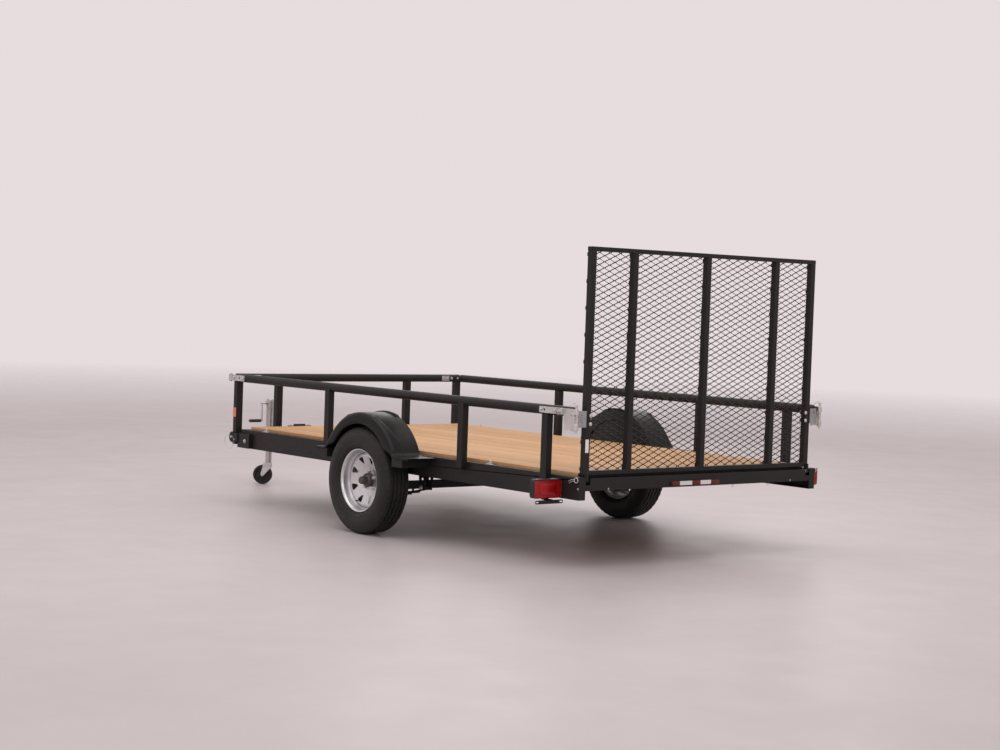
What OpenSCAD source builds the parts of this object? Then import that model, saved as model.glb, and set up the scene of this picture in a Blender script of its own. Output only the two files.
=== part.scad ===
// Single-axle utility trailer: wood-decked bed with tube side rails, a
// fold-down rear ramp gate, a fold-down front rail, a straight tongue with a
// ball coupler, and a side-wind swing-up jack with a caster wheel.
// +X is forward, to the coupler. +Y is left. +Z is up. The floor is z = 0.

/* [Bed] */
// Length of the bed frame
bed_len = 3657.6; // [3560:0.1:3760]
// Width of the bed frame over its side beams
bed_w = 1981.2; // [1960:0.1:2000]
// Height of the top of the side beams
bed_top = 530; // [525:1:540]
// Height of the side beam section
beam_h = 130; // [124:1:134]
// Width of the side beam flanges
flange = 50; // [44:1:54]
// Wall of the beams
beam_t = 4; // [3:0.5:5]
// Number of deck boards
boards = 10; // [8:1:12]
// Gap between deck boards
board_gap = 4; // [2:0.5:6]
// Thickness of the deck boards
board_t = 37; // [34:1:37]

/* [Rails] */
// Radius of the top rail tube
rail_r = 29; // [26:0.5:30]
// Height of the top rail's centre line
rail_z = 898; // [860:1:940]
// Width of a side post
post_w = 51; // [34:1:60]
// Depth of a side post
post_d = 42; // [34:1:42]
// Positions of the side posts from the bed's rear end
post_x = [269.5, 1053.5, 2507.5];
// Sideways positions of the front rail's inner posts
front_post_y = [-506, 650];

/* [Ramp gate] */
// Half of the gate's width
gate_hw = 940; // [920:1:940]
// Height of the gate's top edge
gate_top = 1835; // [1500:1:1835]
// Section of the gate's uprights
gate_t = 38; // [34:1:38]
// Sideways positions of the gate's uprights
gate_y = [-921, -595, 0, 595, 921];
// Width of a grille diamond
diamond_w = 152; // [120:1:200]
// Height of a grille diamond
diamond_h = 68; // [60:1:90]

/* [Wheels] */
// Tyre radius
tyre_r = 340; // [336:1:343]
// Tyre section width
tyre_w = 198; // [185:1:205]
// Axle's distance from the bed's rear end
axle_x = 1885; // [1870:1:1900]
// Sideways distance of the wheels' centre planes
wheel_y = 1114; // [1108:1:1118]
// Rim seat radius
rim_r = 190.2; // [188:0.1:190.2]

/* [Tongue and jack] */
// How far the coupler's tip is ahead of the bed
tongue_ahead = 1472.4; // [1440:0.1:1520]
// Side of the square tongue tube
tongue_s = 76.2; // [70:0.1:80]
// Jack axis ahead of the bed
jack_ahead = 1071.4; // [1060:0.1:1080]
// Sideways distance of the jack's axis
jack_y = 84; // [83:1:88]
// Jack wheel radius
jack_wheel_r = 76; // [70:1:78]
// Caster trail
jack_trail = 43; // [38:1:48]
// Angle that the caster is turned to, from straight ahead
caster_a = 50.9; // [30:0.1:60]

/* [Hidden] */
$fn = 64;
e = 1;                                   // overshoot of cuts
hw = bed_w / 2;                          // half width of the bed
tip = bed_len + tongue_ahead;            // coupler tip, from the bed's rear
rear = -14;                              // rearmost face, the marker light bar
xc = (tip + rear) / 2;                   // distance of the origin from the bed's rear end
beam_z = bed_top - beam_h;               // underside of the beams
deck_z = beam_z + 113;                    // top of the floor cross members
cross_x = [600, 1080, 1567, 2203, 2720, 3180];
pivot_x = 15;                            // ramp gate hinge line
pivot_z = bed_top - 18;
gate_x = 18;                             // rear face of the gate
gate_z = bed_top + 9;                    // bottom of the gate
rail_y = hw + 14.4;                      // centre line of the side rails
front_x = bed_len + 58.4;                // centre of the front rail's posts
fp_x = bed_len + 68.4;                   // front rail's hinge line
fp_z = 471;
pin_r = 8;
run = 0.05;                              // running clearance on a radius
spring_y = 890;
spring_half = 318;                       // half the distance between spring eyes
eye_z = 316;
tongue_top = beam_z;
jx = bed_len + jack_ahead;
jz = 362;                                // jack's swing axis
fender_x = axle_x - 15;

module at() translate([-xc, 0, 0]) children();
module mirrored() { children(); mirror([0, 1, 0]) children(); }
// bar along Y, round, from y0 to y1
module ycyl(x, z, y0, y1, r) translate([x, y0, z]) rotate([-90, 0, 0]) cylinder(r = r, h = y1 - y0);
module box(x0, x1, y0, y1, z0, z1) translate([x0, y0, z0]) cube([x1 - x0, y1 - y0, z1 - z0]);
module paint() color([0.12, 0.115, 0.115]) children();
module zinc() color([0.80, 0.81, 0.80]) children();

// ---------------------------------------------------------------- bed frame
module side_beam() difference() {
    box(0, bed_len, hw - flange, hw, beam_z, bed_top);
    box(beam_t, bed_len + e, hw - flange - e, hw - beam_t, beam_z + beam_t, bed_top - beam_t);
    ycyl(pivot_x, pivot_z, hw - flange - e, hw + e, pin_r + run);
}
module left_side_beam() paint() at() side_beam();
module right_side_beam() paint() at() mirror([0, 1, 0]) side_beam();
module front_cross_member() paint() at() {
    difference() {
        box(bed_len - flange, bed_len, -hw + flange, hw - flange, beam_z, bed_top);
        box(bed_len - flange - e, bed_len - beam_t, -hw, hw, beam_z + beam_t, bed_top - beam_t);
    }
    // ledge under the ends of the boards
    box(bed_len - flange - 40, bed_len - beam_t + e, -hw + flange, hw - flange, deck_z - 6, deck_z - 0.2);
}
module rear_cross_member() paint() at() {
    y1 = 905;
    difference() {
        union() {
            box(0, 44, -y1, y1, bed_top - 78, bed_top - 6);
            box(36, 44, -hw + beam_t, hw - beam_t, bed_top - 78, bed_top - 6);
        }
        box(4, 40, -y1 + 4, y1 - 4, bed_top - 74, bed_top - 10);
    }
    // ledge and upstand at the ends of the boards
    box(40, 110, -hw + flange, hw - flange, deck_z - 6, deck_z - 0.2);
    box(64, 68, -hw + flange, hw - flange, deck_z - 6, deck_z + board_t - 2);
    // low closing plates below the gate's lugs
    mirrored() box(0, 4, y1 - e, hw - flange - 1, bed_top - 78, bed_top - 45);
}
module floor_cross_members() paint() at()
    for (x = cross_x) difference() {
        box(x - 20, x + 20, -hw + flange, hw - flange, beam_z, deck_z);
        box(x - 16, x + 20 + e, -hw, hw, beam_z + beam_t, deck_z - beam_t);
    }
module deck_boards() color([0.80, 0.62, 0.36]) at() {
    room = 2 * (hw - flange) - 6;
    bw = (room - (boards - 1) * board_gap) / boards;
    for (i = [0 : boards - 1])
        box(69, bed_len - flange - 2, -room / 2 + i * (bw + board_gap), -room / 2 + i * (bw + board_gap) + bw, deck_z, deck_z + board_t);
}

// ------------------------------------------------------------------- tongue
module tongue_tube() paint() at() difference() {
    box(cross_x[3] - 20, tip - 80, -tongue_s / 2, tongue_s / 2, tongue_top - tongue_s, tongue_top);
    box(cross_x[3] - 20 - e, tip - 80 + e, -tongue_s / 2 + 4.8, tongue_s / 2 - 4.8, tongue_top - tongue_s + 4.8, tongue_top - 4.8);
}
ball_z = tongue_top - 50;
module ball_coupler() color([0.62, 0.63, 0.63]) at() {
    bx = tip - 38;
    difference() {
        union() {
            box(tip - 175, tip - 60, -tongue_s / 2 - 4, tongue_s / 2 + 4, tongue_top - 62, tongue_top + 4);
            box(tip - 76, bx, -34, 34, ball_z - 8, tongue_top + 4);
            translate([bx, 0, ball_z - 8]) cylinder(r = 38, h = 36);
            translate([bx, 0, ball_z + 28]) cylinder(r1 = 38, r2 = 20, h = 14, $fn = 64);
            // folded latch lever along the top
            box(tip - 150, tip - 70, -7, 7, tongue_top + 4, tongue_top + 16);
        }
        box(tip - 175 - e, tip - 80, -tongue_s / 2, tongue_s / 2, tongue_top - 62 - e, tongue_top);
        // socket over the tow ball
        translate([bx, 0, ball_z - 9]) cylinder(r = 29, h = 27.6);
    }
}

// -------------------------------------------------------------- rails, posts
module top_rail() difference() {
    translate([60, rail_y, rail_z]) rotate([0, 90, 0]) cylinder(r = rail_r, h = bed_len + 16 - 60);
    translate([60 + 3, rail_y, rail_z]) rotate([0, 90, 0]) cylinder(r = rail_r - 2.6, h = bed_len + 16 - 60 - 6);
}
module left_top_rail() paint() at() top_rail();
module right_top_rail() paint() at() mirror([0, 1, 0]) top_rail();
module posts() difference() {
    for (x = post_x) box(x - post_w / 2, x + post_w / 2, hw, hw + post_d, bed_top - 42, rail_z - 8);
    for (x = post_x) box(x - post_w / 2 + 3, x + post_w / 2 - 3, hw + 3, hw + post_d - 3, bed_top - 42 - e, rail_z);
    translate([0, rail_y, rail_z]) rotate([0, 90, 0]) cylinder(r = rail_r + 0.1, h = bed_len);
}
module left_posts() paint() at() posts();
module right_posts() paint() at() mirror([0, 1, 0]) posts();

// ------------------------------------------------------------- running gear
axle_z = tyre_r - 42;                    // centre of the dropped axle tube
module axle_beam() paint() at() {
    difference() {
        box(axle_x - 25, axle_x + 25, -wheel_y + 120, wheel_y - 120, axle_z - 25, axle_z + 25);
        box(axle_x - 20, axle_x + 20, -wheel_y + 126, wheel_y - 126, axle_z - 20, axle_z + 20);
    }
    mirrored() {
        box(axle_x - 25, axle_x + 25, wheel_y - 120, wheel_y - 92, axle_z - 25, tyre_r + 25);
        ycyl(axle_x, tyre_r, wheel_y - 92, wheel_y + 30, 17);
    }
}
function spring_curve(u, sag) = sag * u * u;
module spring_leaf(half, z0, t, sag) {
    n = 12;
    top = [for (i = [-n : n]) [half * i / n, z0 + t + spring_curve(half * i / n / spring_half, sag)]];
    bot = [for (i = [n : -1 : -n]) [half * i / n, z0 + spring_curve(half * i / n / spring_half, sag)]];
    rotate([90, 0, 0]) linear_extrude(45, center = true) polygon(concat(top, bot));
}
spring_top = axle_z - 25 - 6;            // top of the spring pack at the axle
module leaf_spring() translate([axle_x, spring_y, 0]) difference() {
    union() {
        spring_leaf(spring_half - 8, spring_top - 8, 8, eye_z - spring_top - 6);
        spring_leaf(spring_half * 0.72, spring_top - 16, 8.4, eye_z - spring_top - 6);
        spring_leaf(spring_half * 0.45, spring_top - 24, 8.4, eye_z - spring_top - 6);
        for (s = [-1, 1]) translate([s * spring_half, 22.5, eye_z]) rotate([90, 0, 0]) cylinder(r = 17, h = 45);
    }
    for (s = [-1, 1]) translate([s * spring_half, 30, eye_z]) rotate([90, 0, 0]) cylinder(r = 8.2, h = 60);
}
module leaf_springs() color([0.16, 0.16, 0.165]) at() mirrored() leaf_spring();
module hanger(x) {
    difference() {
        union() {
            box(x - 38, x + 38, spring_y - 34, spring_y + 34, beam_z - 8, beam_z);
            for (s = [-1, 1]) translate([x, spring_y + s * 28, 0]) rotate([90, 0, 0])
                linear_extrude(6, center = true) polygon([[-38, beam_z - 7], [38, beam_z - 7], [24, eye_z - 16], [-24, eye_z - 16]]);
        }
        ycyl(x, eye_z + 52, spring_y - 50, spring_y + 50, 12);
    }
    ycyl(x, eye_z, spring_y - 36, spring_y + 36, 8);
}
module spring_hangers() paint() at() mirrored() { hanger(axle_x - spring_half); hanger(axle_x + spring_half); }
module spring_plates() color([0.16, 0.16, 0.165]) at() mirrored() {
    box(axle_x - 50, axle_x + 50, spring_y - 38, spring_y + 38, spring_top - 36, spring_top - 25);
    box(axle_x - 42, axle_x + 42, spring_y - 22, spring_y + 22, spring_top + 1.2, axle_z - 25);
}

// ------------------------------------------------------------------ fenders
// Half ring about the fender's centre, from radius a to b, over y0..y1
fz = 372;
module arc_ring(a, b, y0, y1) translate([fender_x, y1, fz]) rotate([90, 0, 0]) linear_extrude(y1 - y0) intersection() {
    difference() { circle(r = b, $fn = 96); circle(r = a, $fn = 96); }
    translate([-b - e, 148]) square([2 * b + 2 * e, b]);
}
module fender() {
    arc_ring(399, 403, 994, 1188);
    arc_ring(337, 403, 1188, 1212);
    // wall on the bed's side
    translate([fender_x, 998, fz]) rotate([90, 0, 0]) linear_extrude(4) intersection() {
        circle(r = 401, $fn = 96);
        translate([-450, 148]) square([900, 450]);
    }
    difference() {
        union() {
            box(fender_x - 535, fender_x - 330, 994, 1212, bed_top - 10, bed_top - 5);
            box(fender_x + 330, fender_x + 480, 994, 1212, bed_top - 10, bed_top - 5);
        }
        translate([fender_x, 1188, fz]) rotate([90, 0, 0]) cylinder(r = 399, h = 300, $fn = 96);
        translate([fender_x, 1300, fz]) rotate([90, 0, 0]) cylinder(r = 337, h = 300, $fn = 96);
    }
}
module left_fender() color([0.10, 0.10, 0.105]) at() fender();
module right_fender() color([0.10, 0.10, 0.105]) at() mirror([0, 1, 0]) fender();
module fender_brackets() paint() at() mirrored()
    for (x0 = [fender_x - 470, fender_x + 360]) difference() {
        box(x0, x0 + 110, hw, 1205, bed_top - 68, bed_top - 10);
        box(x0 + 4, x0 + 106, hw - e, 1201, bed_top - 68 - e, bed_top - 14);
    }

// ------------------------------------------------------------------- lights
lamp_x = 140;
module tail_light_housings() color([0.07, 0.07, 0.07]) at() mirrored() {
    box(lamp_x + 12, lamp_x + 60, hw, 1188, beam_z + 2, beam_z + 112);
}
module tail_light_lenses() color([0.62, 0.05, 0.06]) at() mirrored()
    box(lamp_x, lamp_x + 12, hw + 4, 1184, beam_z + 6, beam_z + 106);
module licence_bracket() paint() at() difference() {
    union() {
        box(lamp_x, lamp_x + 3, 982, 1190, beam_z - 28, beam_z - 6);
        box(lamp_x, lamp_x + 40, 1060, 1112, beam_z - 6, beam_z - 3);
        box(lamp_x + 37, lamp_x + 40, 1060, 1112, beam_z - 6, beam_z + 2);
    }
    for (y = [1086 - 88.9, 1086 + 88.9]) {
        for (s = [-1, 1]) translate([lamp_x - e, y + s * 8, beam_z - 17]) rotate([0, 90, 0]) cylinder(r = 4, h = 5);
        box(lamp_x - e, lamp_x + 4, y - 8, y + 8, beam_z - 21, beam_z - 13);
    }
}
module marker_light_bar() color([0.55, 0.08, 0.08]) at() {
    box(-6, 0, -126, 276, bed_top - 71, bed_top - 41);
    for (y = [-93, 65, 237]) box(rear, -6, y - 32, y + 32, bed_top - 70, bed_top - 42);
}
module side_reflectors() color([0.85, 0.35, 0.15]) at() mirrored()
    box(front_x - 20, front_x + 20, hw + 21.4, hw + 25.4, 614, 684);

// ------------------------------------------------------- fixed hinge pieces
module gate_hinge_pins() zinc() at() mirrored() {
    ycyl(pivot_x, pivot_z, 912, hw, pin_r);
    ycyl(pivot_x, pivot_z, hw, hw + 5, 14);
}
module latch_knuckle(x, y, z0, z1) translate([x, y, z0]) cylinder(r = 14, h = z1 - z0);
module gate_latch() {
    difference() {
        union() {
            box(10, 150, rail_y + rail_r, rail_y + rail_r + 4, 790, 917);
            box(150, 315, rail_y + rail_r, rail_y + rail_r + 4, 879, 917);
            latch_knuckle(8, rail_y + 18, 795, 832);
            latch_knuckle(8, rail_y + 18, 884, 917);
            translate([8, rail_y + 18, 780]) cylinder(r = 6.5, h = 156);
        }
        ycyl(270, rail_z, rail_y, rail_y + 60, 7);
    }
}
module gate_latches() zinc() at() mirrored() gate_latch();
module front_latch() difference() {
    union() {
        box(bed_len - 98, bed_len + 104, rail_y + rail_r, rail_y + rail_r + 4, 877, 918);
        latch_knuckle(bed_len + 106, rail_y + 21, 873, 922);
    }
    ycyl(bed_len - 30, rail_z, rail_y, rail_y + 60, 7);
}
module front_latches() zinc() at() mirrored() front_latch();
module front_hinge_brackets() paint() at() mirrored() difference() {
    union() {
        box(bed_len - 152, bed_len + 2, hw, hw + 27.4, beam_z + 2, beam_z + 104);
        box(bed_len + 2, fp_x, hw + 27.4, hw + 35.4, fp_z - 30, fp_z + 30);
        box(bed_len - 6, bed_len + 2, hw + 27.4, hw + 35.4, fp_z - 30, fp_z + 30);
        ycyl(fp_x, fp_z, hw + 27.4, hw + 35.4, 38);
        ycyl(fp_x, fp_z, 955, hw + 28, pin_r);
    }
    box(bed_len - 148, bed_len + 2 + e, hw + 4, hw + 23.4, beam_z + 6, beam_z + 100);
}

// ---------------------------------------------------------------- ramp gate
module gate_frame() paint() at() difference() {
    union() {
        for (y = gate_y) box(gate_x, gate_x + gate_t, y - gate_t / 2, y + gate_t / 2, gate_z, gate_top - 25);
        box(gate_x, gate_x + gate_t, -gate_hw, gate_hw, gate_top - 25.4, gate_top);
        box(gate_x, gate_x + gate_t, -gate_hw, gate_hw, gate_z, gate_z + 26);
        for (s = [-1, 1]) {
            ycyl(pivot_x, pivot_z, s * 926 - 8, s * 926 + 8, 14);
            box(pivot_x - 13, pivot_x + 13, s * 926 - 8, s * 926 + 8, pivot_z, gate_z + 20);
        }
    }
    for (y = gate_y) box(gate_x + 3, gate_x + gate_t - 3, y - gate_t / 2 + 3, y + gate_t / 2 - 3, gate_z + 26, gate_top - 25.4);
    box(gate_x + 3, gate_x + gate_t - 3, -gate_hw + 3, gate_hw - 3, gate_top - 22.4, gate_top - 3);
    box(gate_x + 3, gate_x + gate_t - 3, -gate_hw + 50, gate_hw - 50, gate_z + 3, gate_z + 23);
    for (s = [-1, 1]) ycyl(pivot_x, pivot_z, s * 926 - 20, s * 926 + 20, pin_r + run);
}
module gate_grille() paint() at() translate([gate_x + gate_t + 3, 0, 0]) rotate([90, 0, -90])
    linear_extrude(3) {
        w = gate_hw - 2; z0 = gate_z + 2; z1 = gate_top - 2; b = 5;
        nx = ceil(w / diamond_w) + 1; nz = ceil((z1 - z0) / diamond_h) + 1;
        difference() {
            translate([-w, z0]) square([2 * w, z1 - z0]);
            intersection() {
                translate([-w + 20, z0 + 16]) square([2 * w - 40, z1 - z0 - 32]);
                union() for (k = [0, 1], i = [-nx : nx], j = [0 : nz])
                    translate([(i + k / 2) * diamond_w, z0 + (j + k / 2) * diamond_h])
                        polygon([[-diamond_w / 2 + 2.2 * b, 0], [0, -diamond_h / 2 + b], [diamond_w / 2 - 2.2 * b, 0], [0, diamond_h / 2 - b]]);
            }
        }
    }
module gate_latch_plates() zinc() at() mirrored() {
    box(gate_x - 4, gate_x + gate_t, gate_hw, gate_hw + 4, 812, 905);
    difference() {
        box(gate_x - 4, gate_x, gate_hw, gate_hw + 60, 812, 905);
        for (z = [835, 880]) translate([gate_x - 5, gate_hw + 38, z]) rotate([0, 90, 0]) cylinder(r = 6, h = 6);
    }
}

// --------------------------------------------------------------- front rail
module front_rail() paint() at() {
    pw = 50; pd = 42;
    fy = concat([-987], front_post_y, [987]);
    difference() {
        union() {
            ycyl(front_x, rail_z, -hw - 12.4, hw + 12.4, rail_r);
            for (y = fy) box(front_x - pd / 2, front_x + pd / 2, y - pw / 2, y + pw / 2, abs(y) > 900 ? 420 : fp_z, rail_z);
            box(fp_x - 19, fp_x + 19, -964, 964, fp_z - 19, fp_z + 19);
        }
        ycyl(front_x, rail_z, -hw - 9.4, hw + 9.4, rail_r - 2.6);
        for (y = fy) box(front_x - pd / 2 + 3, front_x + pd / 2 - 3, y - pw / 2 + 3, y + pw / 2 - 3, 510, rail_z);
        for (s = [0, 1]) mirror([0, s, 0]) ycyl(fp_x, fp_z, 950, hw + 30, pin_r + run);
    }
}
module front_rail_plates() zinc() at() mirrored()
    box(front_x - rail_r - 4, front_x - rail_r, 820, 892, rail_z - 19, rail_z + 19);

// ------------------------------------------------------------------- wheels
// Round shape about the wheel's axis: points are [radius, outboard offset]
module about_axle(pts) translate([axle_x, wheel_y, tyre_r]) rotate([-90, 0, 0]) rotate_extrude($fn = 96) polygon(pts);
module tyre() {
    h = tyre_w / 2;
    about_axle([[rim_r + 0.3, -62], [203, -66], [222, -h + 6], [262, -h], [300, -h + 7], [326, -h + 18], [tyre_r - 2, -68], [tyre_r, -50],
                [tyre_r, 50], [tyre_r - 2, 68], [326, h - 18], [300, h - 7], [262, h], [222, h - 6], [203, 66], [rim_r + 0.3, 62],
                [rim_r + 0.3, 60], [206, 58], [222, 66], [262, h - 12], [300, h - 18], [tyre_r - 16, 56], [tyre_r - 16, -56], [300, -h + 18], [262, -h + 12],
                [222, -66], [206, -58], [rim_r + 0.3, -60]]);
}
module left_tyre() color([0.08, 0.08, 0.08]) at() tyre();
module right_tyre() color([0.08, 0.08, 0.08]) at() mirror([0, 1, 0]) tyre();
module rim() difference() {
    union() {
        about_axle([[rim_r, -60], [rim_r, -63], [202, -69], [202, -73], [198, -74.5], [186, -66], [186, -40], [176, -30], [176, 20], [186, 34], [186, 66], [198, 74.5],
                    [202, 73], [202, 69], [rim_r, 63], [rim_r, 36], [180, 22], [180, -28], [rim_r, -42]]);
        about_axle([[44, -14], [44, -10], [77, -10], [104, 4], [148, 22], [160, 24], [170, 18], [176.5, 6], [176.5, 1], [168, 14], [160, 19.5], [149, 17.8], [104, -0.4], [78, -14]]);
    }
    for (i = [0 : 7]) translate([axle_x, wheel_y, tyre_r]) rotate([0, 22.5 + i * 45, 0]) translate([126, -60, 0]) rotate([-90, 0, 0]) cylinder(r = 22, h = 120);
}
module left_rim() color([0.76, 0.77, 0.78]) at() rim();
module right_rim() color([0.76, 0.77, 0.78]) at() mirror([0, 1, 0]) rim();
module hub() about_axle([[17 + run, -86], [36, -86], [36, -24], [66, -24], [66, -14.4], [43, -14.4], [43, 14], [34, 24], [26, 26], [24, 54], [20, 58], [0, 58], [0, 36], [17 + run, 36]]);
module left_hub() color([0.28, 0.28, 0.28]) at() hub();
module right_hub() color([0.28, 0.28, 0.28]) at() mirror([0, 1, 0]) hub();

// --------------------------------------------------------------------- jack
ty = tongue_s / 2;
module jack_mount() zinc() at() {
    box(jx - 55, jx + 55, ty, ty + 7, jz - 36, jz + 36);
    ycyl(jx, jz, ty + 7, jack_y - 30, 12);
}
module jack_body() zinc() at() difference() {
    union() {
        translate([jx, jack_y, 285]) cylinder(r = 29, h = 389);
        ycyl(jx, jz, ty + 7.4, jack_y, 24);
    }
    translate([jx, jack_y, 300]) cylinder(r = 26.2, h = 368);
    translate([jx, jack_y, 284]) cylinder(r = 25.4, h = 20);
    ycyl(jx, jz, ty + 6, jack_y, 12 + run);
}
module jack_crank() color([0.15, 0.15, 0.15]) at() {
    ycyl(jx, 644, jack_y + 29, 164, 7);
    box(jx - 8, jx + 8, 156, 162, 505, 644);
    ycyl(jx, 505, 152, 170, 6);
    ycyl(jx, 505, 167, 271, 11);
}
module jack_ram() zinc() at() {
    difference() {
        translate([jx, jack_y, 172]) cylinder(r = 25, h = 373);
        translate([jx, jack_y, 180]) cylinder(r = 21.5, h = 366);
    }
    translate([jx, jack_y, 160.4]) cylinder(r = 8, h = 12);
    translate([jx, jack_y, 154]) cylinder(r = 11, h = 6.6);
}
module caster() translate([jx, jack_y, 0]) rotate([0, 0, caster_a]) children();
module jack_yoke() zinc() at() caster() difference() {
    union() {
        translate([0, 0, 162]) cylinder(r = 30, h = 9);
        box(0, 34, -30, 30, 162, 171);
        for (s = [-1, 1]) translate([0, s * 28, 0]) rotate([90, 0, 0]) linear_extrude(4, center = true)
            polygon([[-22, 171], [34, 171], [jack_trail + 14, jack_wheel_r + 4], [jack_trail + 8, jack_wheel_r - 11], [jack_trail - 6, jack_wheel_r - 13], [-22, 132]]);
    }
    translate([0, 0, 150]) cylinder(r = pin_r + run, h = 30);
    ycyl(jack_trail, jack_wheel_r, -40, 40, 6.05);
}
module jack_wheel_axle() zinc() at() caster() {
    ycyl(jack_trail, jack_wheel_r, -34, 34, 6);
    for (s = [-1, 1]) ycyl(jack_trail, jack_wheel_r, s * 32 - 2, s * 32 + 2, 10);
}
module jack_wheel() color([0.10, 0.10, 0.10]) at() caster() translate([jack_trail, 0, jack_wheel_r]) rotate([-90, 0, 0])
    rotate_extrude($fn = 96) {
        r = jack_wheel_r;
        polygon([[6.05, -24], [16, -24], [16, -14], [r - 18, -12], [r - 12, -21], [r - 3, -19], [r, -12], [r, 12], [r - 3, 19], [r - 12, 21], [r - 18, 12], [16, 14], [16, 24], [6.05, 24]]);
    }

left_side_beam();
right_side_beam();
front_cross_member();
rear_cross_member();
floor_cross_members();
deck_boards();
tongue_tube();
ball_coupler();
left_top_rail();
right_top_rail();
left_posts();
right_posts();
axle_beam();
leaf_springs();
spring_hangers();
spring_plates();
left_fender();
right_fender();
fender_brackets();
tail_light_housings();
tail_light_lenses();
licence_bracket();
marker_light_bar();
side_reflectors();
gate_hinge_pins();
gate_latches();
front_latches();
front_hinge_brackets();
gate_frame();
gate_grille();
gate_latch_plates();
front_rail();
front_rail_plates();
left_tyre();
left_rim();
left_hub();
right_tyre();
right_rim();
right_hub();
jack_mount();
jack_body();
jack_crank();
jack_ram();
jack_yoke();
jack_wheel_axle();
jack_wheel();
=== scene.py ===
import math
import random

import bmesh
import bpy
import numpy as np
from mathutils import Matrix, Vector
from mathutils.geometry import tessellate_polygon


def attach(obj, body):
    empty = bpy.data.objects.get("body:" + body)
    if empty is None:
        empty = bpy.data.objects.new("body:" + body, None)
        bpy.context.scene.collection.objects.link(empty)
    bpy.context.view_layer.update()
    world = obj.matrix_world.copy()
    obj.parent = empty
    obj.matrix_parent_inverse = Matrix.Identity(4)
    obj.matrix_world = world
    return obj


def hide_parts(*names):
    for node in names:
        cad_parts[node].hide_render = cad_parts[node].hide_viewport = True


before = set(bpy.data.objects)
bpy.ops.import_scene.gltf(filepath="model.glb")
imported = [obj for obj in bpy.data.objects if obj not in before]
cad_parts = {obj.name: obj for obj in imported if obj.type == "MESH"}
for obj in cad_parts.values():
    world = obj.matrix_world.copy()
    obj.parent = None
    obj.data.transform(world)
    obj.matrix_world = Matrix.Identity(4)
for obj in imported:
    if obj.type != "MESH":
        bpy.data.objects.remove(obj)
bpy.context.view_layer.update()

XC = 2558.0                       # mm from the bed's rear end to the row's origin
rng = random.Random(11)
PI = math.pi


# ------------------------------------------------------------------ camera
def aim(cam, yaw, pitch, roll):
    cy, sy, cp, sp = math.cos(yaw), math.sin(yaw), math.cos(pitch), math.sin(pitch)
    f = Vector((cy * cp, sy * cp, sp))
    r0 = Vector((sy, -cy, 0.0))
    u0 = r0.cross(f)
    r = math.cos(roll) * r0 + math.sin(roll) * u0
    u = -math.sin(roll) * r0 + math.cos(roll) * u0
    m = Matrix((r, u, -f)).transposed().to_4x4()
    return m


cam_data = bpy.data.cameras.new("camera")
cam = bpy.data.objects.new("camera", cam_data)
bpy.context.scene.collection.objects.link(cam)
cam_data.sensor_width = 36.0
cam_data.lens = 66.45
cam_data.clip_start, cam_data.clip_end = 0.1, 200.0
cam.matrix_world = Matrix.Translation((-10.30637, 7.88439, 1.49029)) @ aim(cam, -0.6821, -0.0383, 0.0358)
bpy.context.scene.camera = cam


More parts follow.
